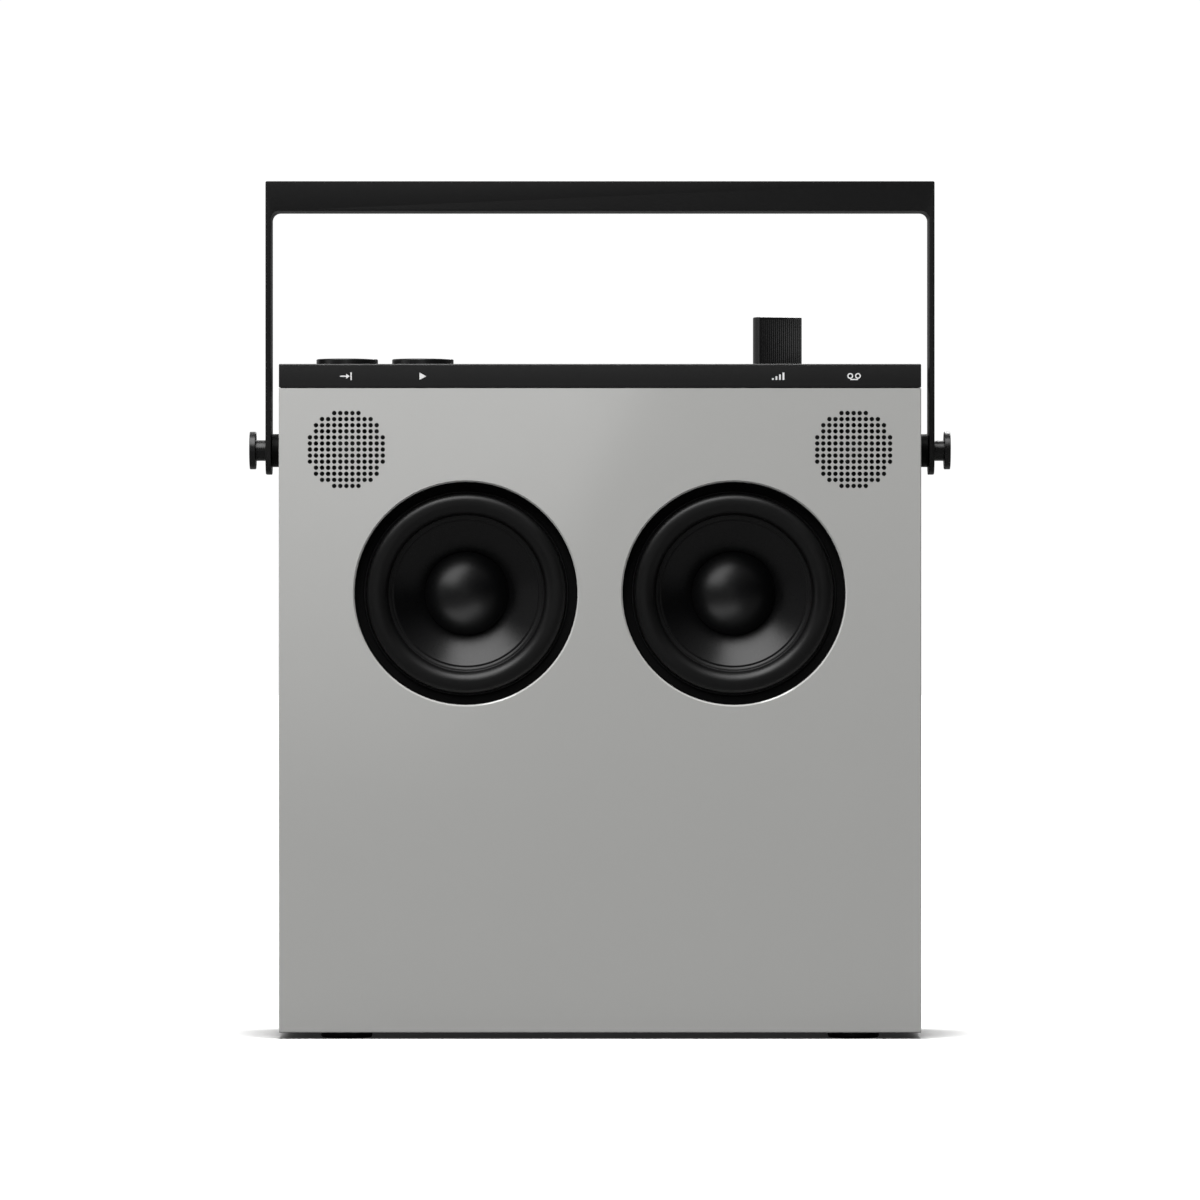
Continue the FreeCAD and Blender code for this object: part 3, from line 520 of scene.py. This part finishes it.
def printed_white(name):
    made = Surface(name, (0.82, 0.82, 0.82), 0.5)
    grain = made.noise(5000, 2)
    made.vary_colour(grain, -0.06, 0.04)
    made.vary_roughness(grain, 0.42, 0.58)
    made.bump(grain, 0.000002)
    return made.material


def centre_of(name):
    lo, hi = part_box(name)
    return (lo + hi) / 2


PIVOT = centre_of("thumb_screw_left")
KNOB = centre_of("volume_knob")
DIAL = centre_of("tape_disc")

GREY = shell_paint("shell_grey_paint", 0.062)
PANEL_BLACK = moulded("panel_black", (0.003, 0.003, 0.0031), 0.33, specular=0.3)
BUTTON_BLACK = moulded("button_black", (0.006, 0.006, 0.0062), 0.3, 3000, 0.000003)
HANDLE_BLACK = moulded("handle_black", (0.003, 0.003, 0.0031), 0.44, 2200, 0.000007, 0.34)
PLATE_BLACK = moulded("plate_black", (0.015, 0.015, 0.0155), 0.48, 2000, 0.00001)
INNER_BLACK = moulded("inner_black", (0.02, 0.02, 0.02), 0.5, 1600, 0.00001)
RUBBER = rubber("black_rubber_soft")
TRIM_RUBBER = rubber("trim_rubber_matt", (0.0018, 0.0018, 0.0019), 0.75, 0.08)
FOOT_RUBBER = rubber("foot_rubber", (0.01, 0.01, 0.01), 0.6)
SILICONE = rubber("grey_silicone", (0.28, 0.28, 0.28), 0.5)
SCREW_BLACK = turned("screw_black", (0.004, 0.004, 0.0042), 0.3, PIVOT, "X", specular=0.35)
SPACER_BLACK = turned("spacer_black", (0.0022, 0.0022, 0.0023), 0.5, PIVOT, "X", specular=0.12)
KNOB_BLACK = moulded("knob_black", (0.0035, 0.0035, 0.0037), 0.28, 6000, 0.0000008)
DIAL_BLACK = turned("dial_black", (0.008, 0.008, 0.0082), 0.3, DIAL, "Z", rings=1900, depth=0.000005)
BASKET_BLACK = speckled("basket_black", (0.02, 0.02, 0.02), 0.45)
BRASS = brushed("turned_brass", (0.66, 0.47, 0.2), 0.3)
STEEL = brushed("zinc_steel", (0.56, 0.56, 0.57), 0.34)
FERRITE = speckled("sintered_ferrite", (0.05, 0.05, 0.055), 0.62)
BOARD = circuit_board("board_green_mask")
FILM = shrink_film("pack_film")
ACETAL = moulded("white_acetal", (0.72, 0.72, 0.69), 0.38, 1800, 0.000004)
SILK = woven("coated_silk", (0.03, 0.03, 0.03), 3000, 0.6, 0.00002)
SPIDER = woven("spider_cloth_weave", (0.42, 0.27, 0.1), 1700, 0.85, 0.00005)
COPPER = winding("copper_winding", 3500)
PRINT = printed_white("printed_white_ink")

SLOT_MATERIALS = {
    "shell_grey": GREY,
    "black_plastic": INNER_BLACK,
    "black_metal": SCREW_BLACK,
    "black_rubber": RUBBER,
    "cone_black": RUBBER,
    "brass": BRASS,
    "steel": STEEL,
    "ferrite": FERRITE,
    "aluminium_black": HANDLE_BLACK,
    "board_green": BOARD,
    "pack_wrap": FILM,
    "silicone": SILICONE,
    "dome_silk": SILK,
    "spider_cloth": SPIDER,
    "coil_copper": COPPER,
    "gear_white": ACETAL,
}
NODE_MATERIALS = {
    "top_panel": PANEL_BLACK,
    "connector_plate": PLATE_BLACK,
    "woofer_basket_left": BASKET_BLACK,
    "woofer_basket_right": BASKET_BLACK,
    "battery_bracket": STEEL,
    "spacers": SPACER_BLACK,
}


def paint_cad():
    """Every carried-over CAD node gets the finish of its slot, or one of its own."""
    for part in frame["record"]["subparts"]:
        name = part["node"]
        mesh = NODES[name].data
        mesh.materials.clear()
        mesh.materials.append(NODE_MATERIALS.get(name, SLOT_MATERIALS[part["material_slot"]]))


paint_cad()
panel_glow = softbox("panel_glow", (-0.12, -1.5, 1.1), (0, -0.0285, 0.22), size=(0.5, 0.2), radiance=30)
only_lights(panel_glow, [NODES["top_panel"]], "INCLUDE")


# ---------------------------------------------------------------- mesh helpers

SHARP = math.radians(32)


def piece(name, bm, material, body, replaces=()):
    """Turns a bmesh into a finished piece that rides on a body."""
    bmesh.ops.remove_doubles(bm, verts=bm.verts, dist=1e-7)
    bmesh.ops.recalc_face_normals(bm, faces=bm.faces)
    for face in bm.faces:
        face.smooth = True
    for edge in bm.edges:
        if len(edge.link_faces) == 2 and edge.calc_face_angle(0) > SHARP:
            edge.smooth = False
    mesh = bpy.data.meshes.new(name)
    bm.to_mesh(mesh)
    bm.free()
    mesh.materials.append(material)
    made = link(bpy.data.objects.new(name, mesh))
    if body:
        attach(made, body)
    if replaces:
        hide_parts(*replaces)
    return made


def bridge(bm, near, far):
    """Quads between two closed loops of equal length."""
    count = len(near)
    for k in range(count):
        n = (k + 1) % count
        bm.faces.new((near[k], near[n], far[n], far[k]))


def loft(rings):
    """Skins rings of equal length and caps the first and the last."""
    bm = bmesh.new()
    rows = [[bm.verts.new(p) for p in ring] for ring in rings]
    for low, high in zip(rows, rows[1:]):
        bridge(bm, low, high)
    bm.faces.new(rows[0])
    bm.faces.new(rows[-1])
    return bm


def lathe(profile, centre, axis, segments=144):
    """Turns a closed profile of (radius, along) in millimetres about a Y or Z axis through centre.
    Along is measured in the shared frame, not from centre.
    A profile that touches the axis starts and ends there."""
    on_axis = profile[0][0] < 1e-9
    inner = profile[1:-1] if on_axis else profile
    bm = bmesh.new()

    def spot(r, h, k):
        a = 2 * math.pi * k / segments
        u, v = r * MM * math.cos(a), r * MM * math.sin(a)
        if axis == "Y":
            return (centre.x + u, h * MM, centre.z + v)
        return (centre.x + u, centre.y + v, h * MM)

    rows = [[bm.verts.new(spot(r, h, k)) for k in range(segments)] for r, h in inner]
    pairs = list(zip(rows, rows[1:]))
    if not on_axis:
        pairs.append((rows[-1], rows[0]))
    for low, high in pairs:
        bridge(bm, low, high)
    if on_axis:
        for row, (_, h) in ((rows[0], profile[0]), (rows[-1], profile[-1])):
            tip = bm.verts.new(spot(0, h, 0))
            for k in range(segments):
                bm.faces.new((tip, row[k], row[(k + 1) % segments]))
    return bm


def rounded(corners, steps=5, closed=True):
    """Rounds the corners of a profile. A corner is (r, h) or (r, h, fillet radius)."""
    points = []
    count = len(corners)
    for k, corner in enumerate(corners):
        here = Vector(corner[:2])
        fillet = corner[2] if len(corner) > 2 else 0
        if fillet <= 0 or (not closed and k in (0, count - 1)):
            points.append(tuple(here))
            continue
        before = Vector(corners[k - 1][:2])
        after = Vector(corners[(k + 1) % count][:2])
        into = (before - here).normalized()
        out = (after - here).normalized()
        half = into.angle(out) / 2
        reach = min(fillet / math.tan(half), (before - here).length * 0.49, (after - here).length * 0.49)
        radius = reach * math.tan(half)
        middle = here + (into + out).normalized() * (radius / math.sin(half))
        start = here + into * reach - middle
        end = here + out * reach - middle
        turn = start.angle_signed(end)
        for s in range(steps + 1):
            a = -turn * s / steps
            c, t = math.cos(a), math.sin(a)
            points.append((middle.x + start.x * c - start.y * t, middle.y + start.x * t + start.y * c))
    return points


def arc_points(cx, cy, radius, first, last, steps):
    """Points on an arc between two angles in degrees, ends included."""
    made = []
    for s in range(steps + 1):
        a = math.radians(first + (last - first) * s / steps)
        made.append((cx + radius * math.cos(a), cy + radius * math.sin(a)))
    return made


def cap_points(ball, top, angle, steps):
    """Points down a ball's side from its top, which faces the front, to an angle from its axis."""
    turns = [angle * s / steps for s in range(steps + 1)]
    return [(ball * math.sin(a), top + ball * (1 - math.cos(a))) for a in turns]


# ---------------------------------------------------------------- drivers

# Radii about a woofer's axis, in millimetres.
CONE_LIP_R = 23.6
CONE_FLANGE_R = 25.85
NECK_R = 12.98
CAP_R = 13.6
ROLL_IN, ROLL_OUT = 25.55, 32.85
SURROUND_R = 36.0


def radial_blend(obj):
    """Bakes the piece's placement into its mesh."""
    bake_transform(obj)


def make_surround(side, centre, material):
    """A half roll with a full outer shoulder. Its inner foot runs down to a land on the cone's lip."""
    lo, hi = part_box("woofer_surround_" + side)
    crest, lip_under = to_mm(lo.y), to_mm(hi.y)
    skin, shoulder_steps, fullness = 0.5, 28, 2.8
    middle, half = (ROLL_IN + ROLL_OUT) / 2, (ROLL_OUT - ROLL_IN) / 2
    land = crest + half
    lip_top = lip_under - skin
    top = arc_points(middle, land, half, 180, 270, 22)
    for s in range(1, shoulder_steps + 1):
        out = math.sin(math.pi / 2 * s / shoulder_steps)
        top.append((middle + half * out, land - half * (1 - out**fullness) ** (1 / fullness)))
    foot = CONE_LIP_R + 0.62
    inner_land = [
        (foot, lip_under),
        (foot + 0.05, lip_under - 0.12),
        (foot + 0.55, lip_top + 0.08),
        (foot + 0.8, lip_top),
        (ROLL_IN - 0.25, lip_top),
        (ROLL_IN - 0.07, lip_top - 0.09),
        (ROLL_IN, lip_top - 0.3),
    ]
    outer_land = [
        (ROLL_OUT + 0.05, land - 0.1),
        (ROLL_OUT + 0.2, land),
        (SURROUND_R, land),
        (SURROUND_R, land + skin),
    ]
    below = arc_points(middle, land + skin, half - skin, 360, 180, 32)
    profile = inner_land + top[:-1] + outer_land + below + [(ROLL_IN + skin, lip_under)]
    bm = lathe(profile, centre, "Y", 192)
    made = piece("surround_roll_" + side, bm, material, None, ("woofer_surround_" + side,))
    radial_blend(made)


def make_cone(side, centre, material):
    lo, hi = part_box("woofer_cone_" + side)
    lip, neck = to_mm(lo.y), to_mm(hi.y)
    thick = 0.5
    corners = [
        (CONE_FLANGE_R, lip),
        (CONE_FLANGE_R, lip + thick),
        (CONE_LIP_R + 0.55, lip + thick, 0.3),
        (NECK_R + 0.33, neck - 1.2),
        (NECK_R + 0.33, neck),
        (NECK_R, neck),
        (NECK_R + 0.02, neck - 1.8),
        (CONE_LIP_R, lip + 0.03, 0.25),
        (CONE_LIP_R + 0.25, lip),
    ]
    bm = lathe(rounded(corners), centre, "Y", 192)
    piece("cone_" + side, bm, material, "woofer_cone_" + side, ("woofer_cone_" + side,))


def make_dust_cap(side, centre, material):
    lo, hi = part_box("woofer_dust_cap_" + side)
    crown, rim = to_mm(lo.y), to_mm(hi.y)
    rise, thick, steps = rim - crown, 0.45, 36
    ball = (CAP_R**2 + rise**2) / (2 * rise)
    inner = ball - thick
    over = cap_points(ball, crown, math.asin(CAP_R / ball), steps)
    under = cap_points(inner, crown + thick, math.acos((ball - rise) / inner), steps)
    bm = lathe(over + under[::-1], centre, "Y", 160)
    stands_for = ("woofer_dust_cap_" + side,)
    return piece("dust_cap_" + side, bm, material, "woofer_cone_" + side, stands_for)


def make_trim_ring(side, centre, material):
    lo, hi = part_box("woofer_gasket_" + side)
    front, back = to_mm(lo.y), to_mm(hi.y)
    outer = to_mm(hi.x - lo.x) / 2
    inner = outer - 2.9
    corners = [
        (outer, back),
        (outer, front + 0.05, 0.15),
        (outer - 0.4, front, 0.15),
        (inner + 0.5, front, 0.25),
        (inner, front + 0.3, 0.15),
        (inner, back),
    ]
    bm = lathe(rounded(corners), centre, "Y", 192)
    piece("trim_ring_" + side, bm, material, "cabinet", ("woofer_gasket_" + side,))


def make_spider(side, centre):
    """A pressed cloth disc whose waves die away towards the land glued to the basket."""
    lo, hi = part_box("woofer_spider_" + side)
    inner, outer, steps = 13.0, 23.3, 90
    first_crest, half_pitch, wave_height = 14.0, 1.1, 0.5
    cloth = 0.26
    middle = to_mm(lo.y + hi.y) / 2 - 0.1
    land = to_mm(hi.y) - 0.3
    top = []
    for s in range(steps + 1):
        r = inner + (outer - inner) * s / steps
        fade = min(1.0, (outer - r) / 1.2)
        wave = wave_height * math.cos((r - first_crest) / half_pitch * math.pi)
        level = middle * fade + land * (1 - fade)
        top.append((r, level - wave * fade))
    top += [(outer + 0.3, land), (25.4, land)]
    under = [(r, h + cloth) for r, h in reversed(top)]
    bm = lathe(top + under, centre, "Y", 128)
    made = piece("spider_" + side, bm, SPIDER, None, ("woofer_spider_" + side,))
    radial_blend(made)


def make_diaphragm(side):
    """A tweeter's dome with the flat land that holds it."""
    lo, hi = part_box("tweeter_dome_" + side)
    crown, back = to_mm(lo.y), to_mm(hi.y)
    silk, steps = 0.3, 20
    height = back - 0.2 - crown
    ball = (9.4**2 + height**2) / (2 * height)
    slope = math.asin(9.2 / ball)
    over = cap_points(ball, crown, slope, steps)
    land = over[-1][1]
    rim = [(9.5, land), (10.1, land), (10.1, back), (8.9, back)]
    under = cap_points(ball - silk, crown + silk, slope, steps)[-2::-1]
    bm = lathe(over + rim + under, (lo + hi) / 2, "Y", 96)
    piece("diaphragm_" + side, bm, SILK, "cabinet", ("tweeter_dome_" + side,))


caps = []
for side in SIDES:
    woofer_centre = centre_of("woofer_gasket_" + side)
    coat = cone_paper("coated_pulp_" + side, woofer_centre)
    make_surround(side, woofer_centre, RUBBER)
    make_cone(side, woofer_centre, coat)
    caps.append(make_dust_cap(side, woofer_centre, cone_paper("cap_coat_" + side, woofer_centre, 0.37)))
    make_trim_ring(side, woofer_centre, TRIM_RUBBER)
    make_spider(side, woofer_centre)
    make_diaphragm(side)
only_lights(key, [floor] + caps, "EXCLUDE")
low_glow = softbox("low_glow", (-0.08, -0.1, 0.02), (-0.03, -0.02, 0.145), size=(0.42, 0.1), radiance=2.3)
cap_glow = softbox("cap_glow", (-0.58, -0.46, 0.92), (0, -0.02, 0.145), size=(1.05, 1.05), radiance=5.4)
for light in (low_glow, cap_glow):
    only_lights(light, caps, "INCLUDE")


# ---------------------------------------------------------------- handle

def prism(outline_points, axis, low, high):
    """A straight-sided solid over an outline, in metres. The outline lies across the axis."""
    bm = bmesh.new()

    def spot(u, v, w):
        return (w, u, v) if axis == "X" else (u, w, v)

    near = [bm.verts.new(spot(u, v, low)) for u, v in outline_points]
    far = [bm.verts.new(spot(u, v, high)) for u, v in outline_points]
    bm.faces.new(near)
    bm.faces.new(far[::-1])
    bridge(bm, near, far)
    bmesh.ops.recalc_face_normals(bm, faces=bm.faces)
    return bm


def scratch(name, bm):
    mesh = bpy.data.meshes.new(name)
    bm.to_mesh(mesh)
    bm.free()
    return link(bpy.data.objects.new(name, mesh))


def applied(obj, modifiers):
    """The object's mesh with its modifiers applied, as a bmesh. The object and its cutters are removed."""
    for kind, values in modifiers:
        modifier = obj.modifiers.new(kind.lower(), kind)
        for name, value in values.items():
            setattr(modifier, name, value)
    bpy.context.view_layer.update()
    seen = obj.evaluated_get(bpy.context.evaluated_depsgraph_get())
    bm = bmesh.new()
    bm.from_mesh(seen.to_mesh())
    cutters = [values["object"] for _, values in modifiers if "object" in values]
    for used in [obj] + cutters:
        bpy.data.objects.remove(used)
    return bm


def make_handle():
    """One U-shaped bar: a front outline, cut to its round-ended side view and drilled for the screws."""
    lo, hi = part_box("handle")
    left, right, foot, top = to_mm(lo.x), to_mm(hi.x), to_mm(lo.z), to_mm(hi.z)
    front, back = to_mm(lo.y), to_mm(hi.y)
    inner, bar = right - 1.7, top - 9.8
    inner_fillet, outer_fillet, end_fillet, hole_r, edge = 2.6, 0.5, 5.0, 2.6, 0.2
    corners = [
        (left, foot),
        (left, top, outer_fillet),
        (right, top, outer_fillet),
        (right, foot),
        (inner, foot),
        (inner, bar, inner_fillet),
        (-inner, bar, inner_fillet),
        (-inner, foot),
    ]
    side_view = [(front, foot, end_fillet), (back, foot, end_fillet), (back, top + 5), (front, top + 5)]
    hole = [(y * MM + PIVOT.y, z * MM + PIVOT.z) for y, z in arc_points(0, 0, hole_r, 0, 352.5, 47)]
    across = (lo.x - 0.01, hi.x + 0.01)
    body = scratch("handle_blank", prism(to_metres(rounded(corners, 10)), "Y", lo.y, hi.y))
    trim = scratch("handle_trim", prism(to_metres(rounded(side_view, 14)), "X", *across))
    drill = scratch("handle_drill", prism(hole, "X", *across))
    eased = {"width": edge * MM, "segments": 3, "limit_method": "ANGLE", "angle_limit": math.radians(35)}
    modifiers = [
        ("BOOLEAN", {"solver": "EXACT", "operation": "INTERSECT", "object": trim}),
        ("BOOLEAN", {"solver": "EXACT", "operation": "DIFFERENCE", "object": drill}),
        ("BEVEL", eased),
    ]
    piece("carry_handle", applied(body, modifiers), HANDLE_BLACK, "handle", ("handle",))


make_handle()


# ---------------------------------------------------------------- controls

def make_knob():
    """A round knob with a finely ridged flat, slightly crowned and turned towards the front left."""
    lo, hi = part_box("volume_knob")
    low, high = to_mm(lo.z), to_mm(hi.z)
    radius, flat, turn = 8.05, 2.9, math.radians(21)
    bore_r, bore_top, crown = 2.06, 232.05, 0.4
    ridges, per_ridge, margin, depth = 21, 8, 0.7, 0.05
    half_flat = math.sqrt(radius**2 - flat**2)
    start = math.degrees(math.atan2(-flat, half_flat))
    round_part = arc_points(0, 0, radius, start, 180 - start, 150)
    steps = ridges * per_ridge

    def outline(inset, cut):
        points = []
        for x, y in round_part:
            scale = (radius - inset) / radius
            points.append((x * scale, max(y * scale, -flat + inset)))
        edge = half_flat - inset
        for k in range(1, steps):
            t = k / steps
            x = -edge + 2 * edge * t
            inside = min(1.0, max(0.0, (edge - abs(x)) / margin))
            wave = 0.5 - 0.5 * math.cos(2 * math.pi * t * ridges)
            bulge = crown * (1 - (x / half_flat) ** 2)
            points.append((x, -flat - bulge + inset + cut * wave * inside))
        return points

    def placed(points, z):
        c, s = math.cos(turn), math.sin(turn)
        return [(KNOB.x + (x * c - y * s) * MM, (x * s + y * c) * MM, z * MM) for x, y in points]

    def bore(z):
        circle = [(bore_r * x / math.hypot(x, y), bore_r * y / math.hypot(x, y)) for x, y in outline(0, 0)]
        return placed(circle, z)

    # Height, how far the outline is drawn in there, and the ridges' depth.
    levels = [
        (low, 0.15, 0),
        (low + 0.15, 0, 0),
        (low + 0.5, 0, 0),
        (low + 0.6, 0, depth),
        (high - 0.95, 0, depth),
        (high - 0.85, 0, 0),
        (high - 0.3, 0, 0),
        (high - 0.09, 0.09, 0),
        (high, 0.3, 0),
    ]
    rings = [bore(bore_top), bore(low)] + [placed(outline(inset, cut), z) for z, inset, cut in levels]
    return piece("knob_body", loft(rings), KNOB_BLACK, "volume_knob", ("volume_knob",))


def make_button(name):
    """A dished round key with a flange below and a hollow underside."""
    lo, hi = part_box(name + "_button")
    centre = (lo + hi) / 2
    base, top = to_mm(lo.z), to_mm(hi.z)
    flange = to_mm(hi.x - lo.x) / 2
    key_r, dish_r, dish_depth, dish_steps = 10.15, 9.3, 0.4, 16
    flange_top, hollow_top = base + 1.85, base + 4.4
    shares = [s / dish_steps for s in range(dish_steps + 1)]
    dish = [(dish_r * share, top - dish_depth * (1 - share**2)) for share in shares]
    corners = [
        dish[-1],
        (key_r, top, 0.4),
        (key_r, flange_top, 0.2),
        (flange, flange_top, 0.15),
        (flange, base),
        (8.6, base),
        (8.6, hollow_top),
        (2.0, hollow_top),
        (2.0, base),
        (0, base),
    ]
    bm = lathe(dish + rounded(corners, 8, closed=False)[1:], centre, "Z", 144)
    piece(name + "_key", bm, BUTTON_BLACK, name + "_button", (name + "_button",))


def make_return_pad(name):
    lo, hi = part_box("return_pad_" + name)
    centre = (lo + hi) / 2
    low, high = to_mm(lo.z), to_mm(hi.z)
    corners = [
        (11.4, low),
        (11.4, low + 0.5, 0.2),
        (10.7, low + 0.9, 0.6),
        (10.2, high - 0.7, 0.4),
        (10.2, high),
        (9.4, high),
        (9.4, high - 0.7, 0.4),
        (9.95, low + 0.9, 0.4),
        (10.6, low + 0.5, 0.2),
        (10.6, low),
    ]
    bm = lathe(rounded(corners), centre, "Z", 96)
    made = piece("return_spring_pad_" + name, bm, SILICONE, "cabinet", ("return_pad_" + name,))
    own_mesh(made)


def make_dial():
    """A flush turned disc with a finger dimple near its front edge."""
    lo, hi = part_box("tape_disc")
    centre = (lo + hi) / 2
    top, low = to_mm(hi.z), to_mm(lo.z)
    rim_r, flat_r, flat_steps, thick, hub_r = 10.15, 9.85, 60, 1.6, 1.5
    dimple_y, ball, depth = -6.0, 5.0, 0.8
    dimple_r = math.sqrt(ball**2 - (ball - depth) ** 2) + 0.3
    flat = [(flat_r * s / flat_steps, top) for s in range(flat_steps + 1)]
    corners = [
        flat[-1],
        (rim_r, top, 0.3),
        (rim_r, top - thick, 0.15),
        (hub_r, top - thick),
        (hub_r, low),
        (0, low),
    ]
    bm = lathe(flat + rounded(corners, 6, closed=False)[1:], centre, "Z", 180)
    for vertex in bm.verts:
        r = math.hypot(to_mm(vertex.co.x - centre.x), to_mm(vertex.co.y) - dimple_y)
        if to_mm(vertex.co.z) > top - 0.001 and r < dimple_r:
            vertex.co.z = (top - depth * (1 - (r / dimple_r) ** 2) ** 1.15) * MM
    piece("dial_disc", bm, DIAL_BLACK, "tape_disc", ("tape_disc",))


def make_foot(name):
    """A rubber pad with a shallow recess inside its ring of contact."""
    lo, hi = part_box(name)
    radius, high = to_mm(hi.x - lo.x) / 2, to_mm(hi.z)
    recess, recess_r = 0.35, 5.4
    corners = [
        (0, recess),
        (recess_r, recess, 0.15),
        (recess_r + 0.3, 0.0, 0.2),
        (radius - 0.25, 0.0, 0.55),
        (radius, high - 0.25, 0.2),
        (radius - 0.2, high),
        (0, high),
    ]
    bm = lathe(rounded(corners, 5, closed=False), (lo + hi) / 2, "Z", 96)
    piece(name + "_pad", bm, FOOT_RUBBER, "cabinet", (name,))


knob = make_knob()
right_card = softbox("right_card", (0.9, -0.46, 0.25), (0.06, 0, 0.23), size=(0.36, 0.4), radiance=1.5)
only_lights(right_card, [knob], "INCLUDE")
make_dial()
for control in ("input", "play"):
    make_button(control)
    make_return_pad(control)
for end in ("front", "rear"):
    for side in SIDES:
        make_foot("foot_" + end + "_" + side)


# ---------------------------------------------------------------- printed symbols

# In millimetres: how far the ink stands proud, and the camber of the panel's front above its seam.
INK = 0.02
CAMBER_R = 85.0
SHELL_TOP = to_mm(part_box("cabinet_shell")[1].z)
SEAM = 0.4
SYMBOLS_Z = 216.2
SYMBOLS_X = {"input": -82.9, "play": -57.9, "volume": 58.1, "tape": 82.9}


def camber(z):
    """How far the top panel's front lies behind its lowest edge at this height."""
    rise = z - SHELL_TOP - SEAM
    return CAMBER_R - math.sqrt(CAMBER_R**2 - rise**2) if rise > 0 else 0.0


def bar(x0, x1, z0, z1):
    return [[(x0, z0), (x1, z0), (x1, z1), (x0, z1)]]


def hoop(x, z, outer, inner, count=40):
    last = 360 - 360 / count
    return [arc_points(x, z, radius, 0, last, count - 1) for radius in (outer, inner)]


def ink(name, shapes):
    """A printed symbol on the panel's front. A shape is an outline and, if it has one, its hole."""
    panel_y = to_mm(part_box("top_panel")[0].y)
    bm = bmesh.new()

    def loops(shape, lift):
        made = []
        for outline in shape:
            spots = []
            for x, z in outline:
                up = SYMBOLS_Z + z
                spots.append((SYMBOLS_X[name] + x, panel_y + camber(up) - lift, up))
            made.append([bm.verts.new(Vector(spot) * MM) for spot in spots])
        return made

    for shape in shapes:
        front, back = loops(shape, INK), loops(shape, -INK)
        for near, far in zip(front, back):
            bridge(bm, near, far)
        for rows in (front, back):
            if len(rows) == 2:
                bridge(bm, *rows)
            else:
                bm.faces.new(rows[0])
    piece("symbol_" + name, bm, PRINT, "cabinet")


ARROW_HEAD = [[(0.1, -0.85), (1.25, 0.0), (0.1, 0.85)]]
TRIANGLE = [[(-1.0, -1.2), (1.25, 0.0), (-1.0, 1.2)]]
STEPS = [bar(-2.0 + 1.15 * k, -1.4 + 1.15 * k, -1.2, -0.6 + 0.6 * k) for k in range(4)]
REELS = [hoop(x, 0.1, 0.95, 0.55) for x in (-1.25, 1.25)]
ink("input", [bar(-1.9, 0.1, -0.2, 0.2), ARROW_HEAD, bar(1.5, 1.9, -1.25, 1.25)])
ink("play", [TRIANGLE])
ink("volume", STEPS)
ink("tape", REELS + [bar(-1.25, 1.25, -1.25, -0.87)])
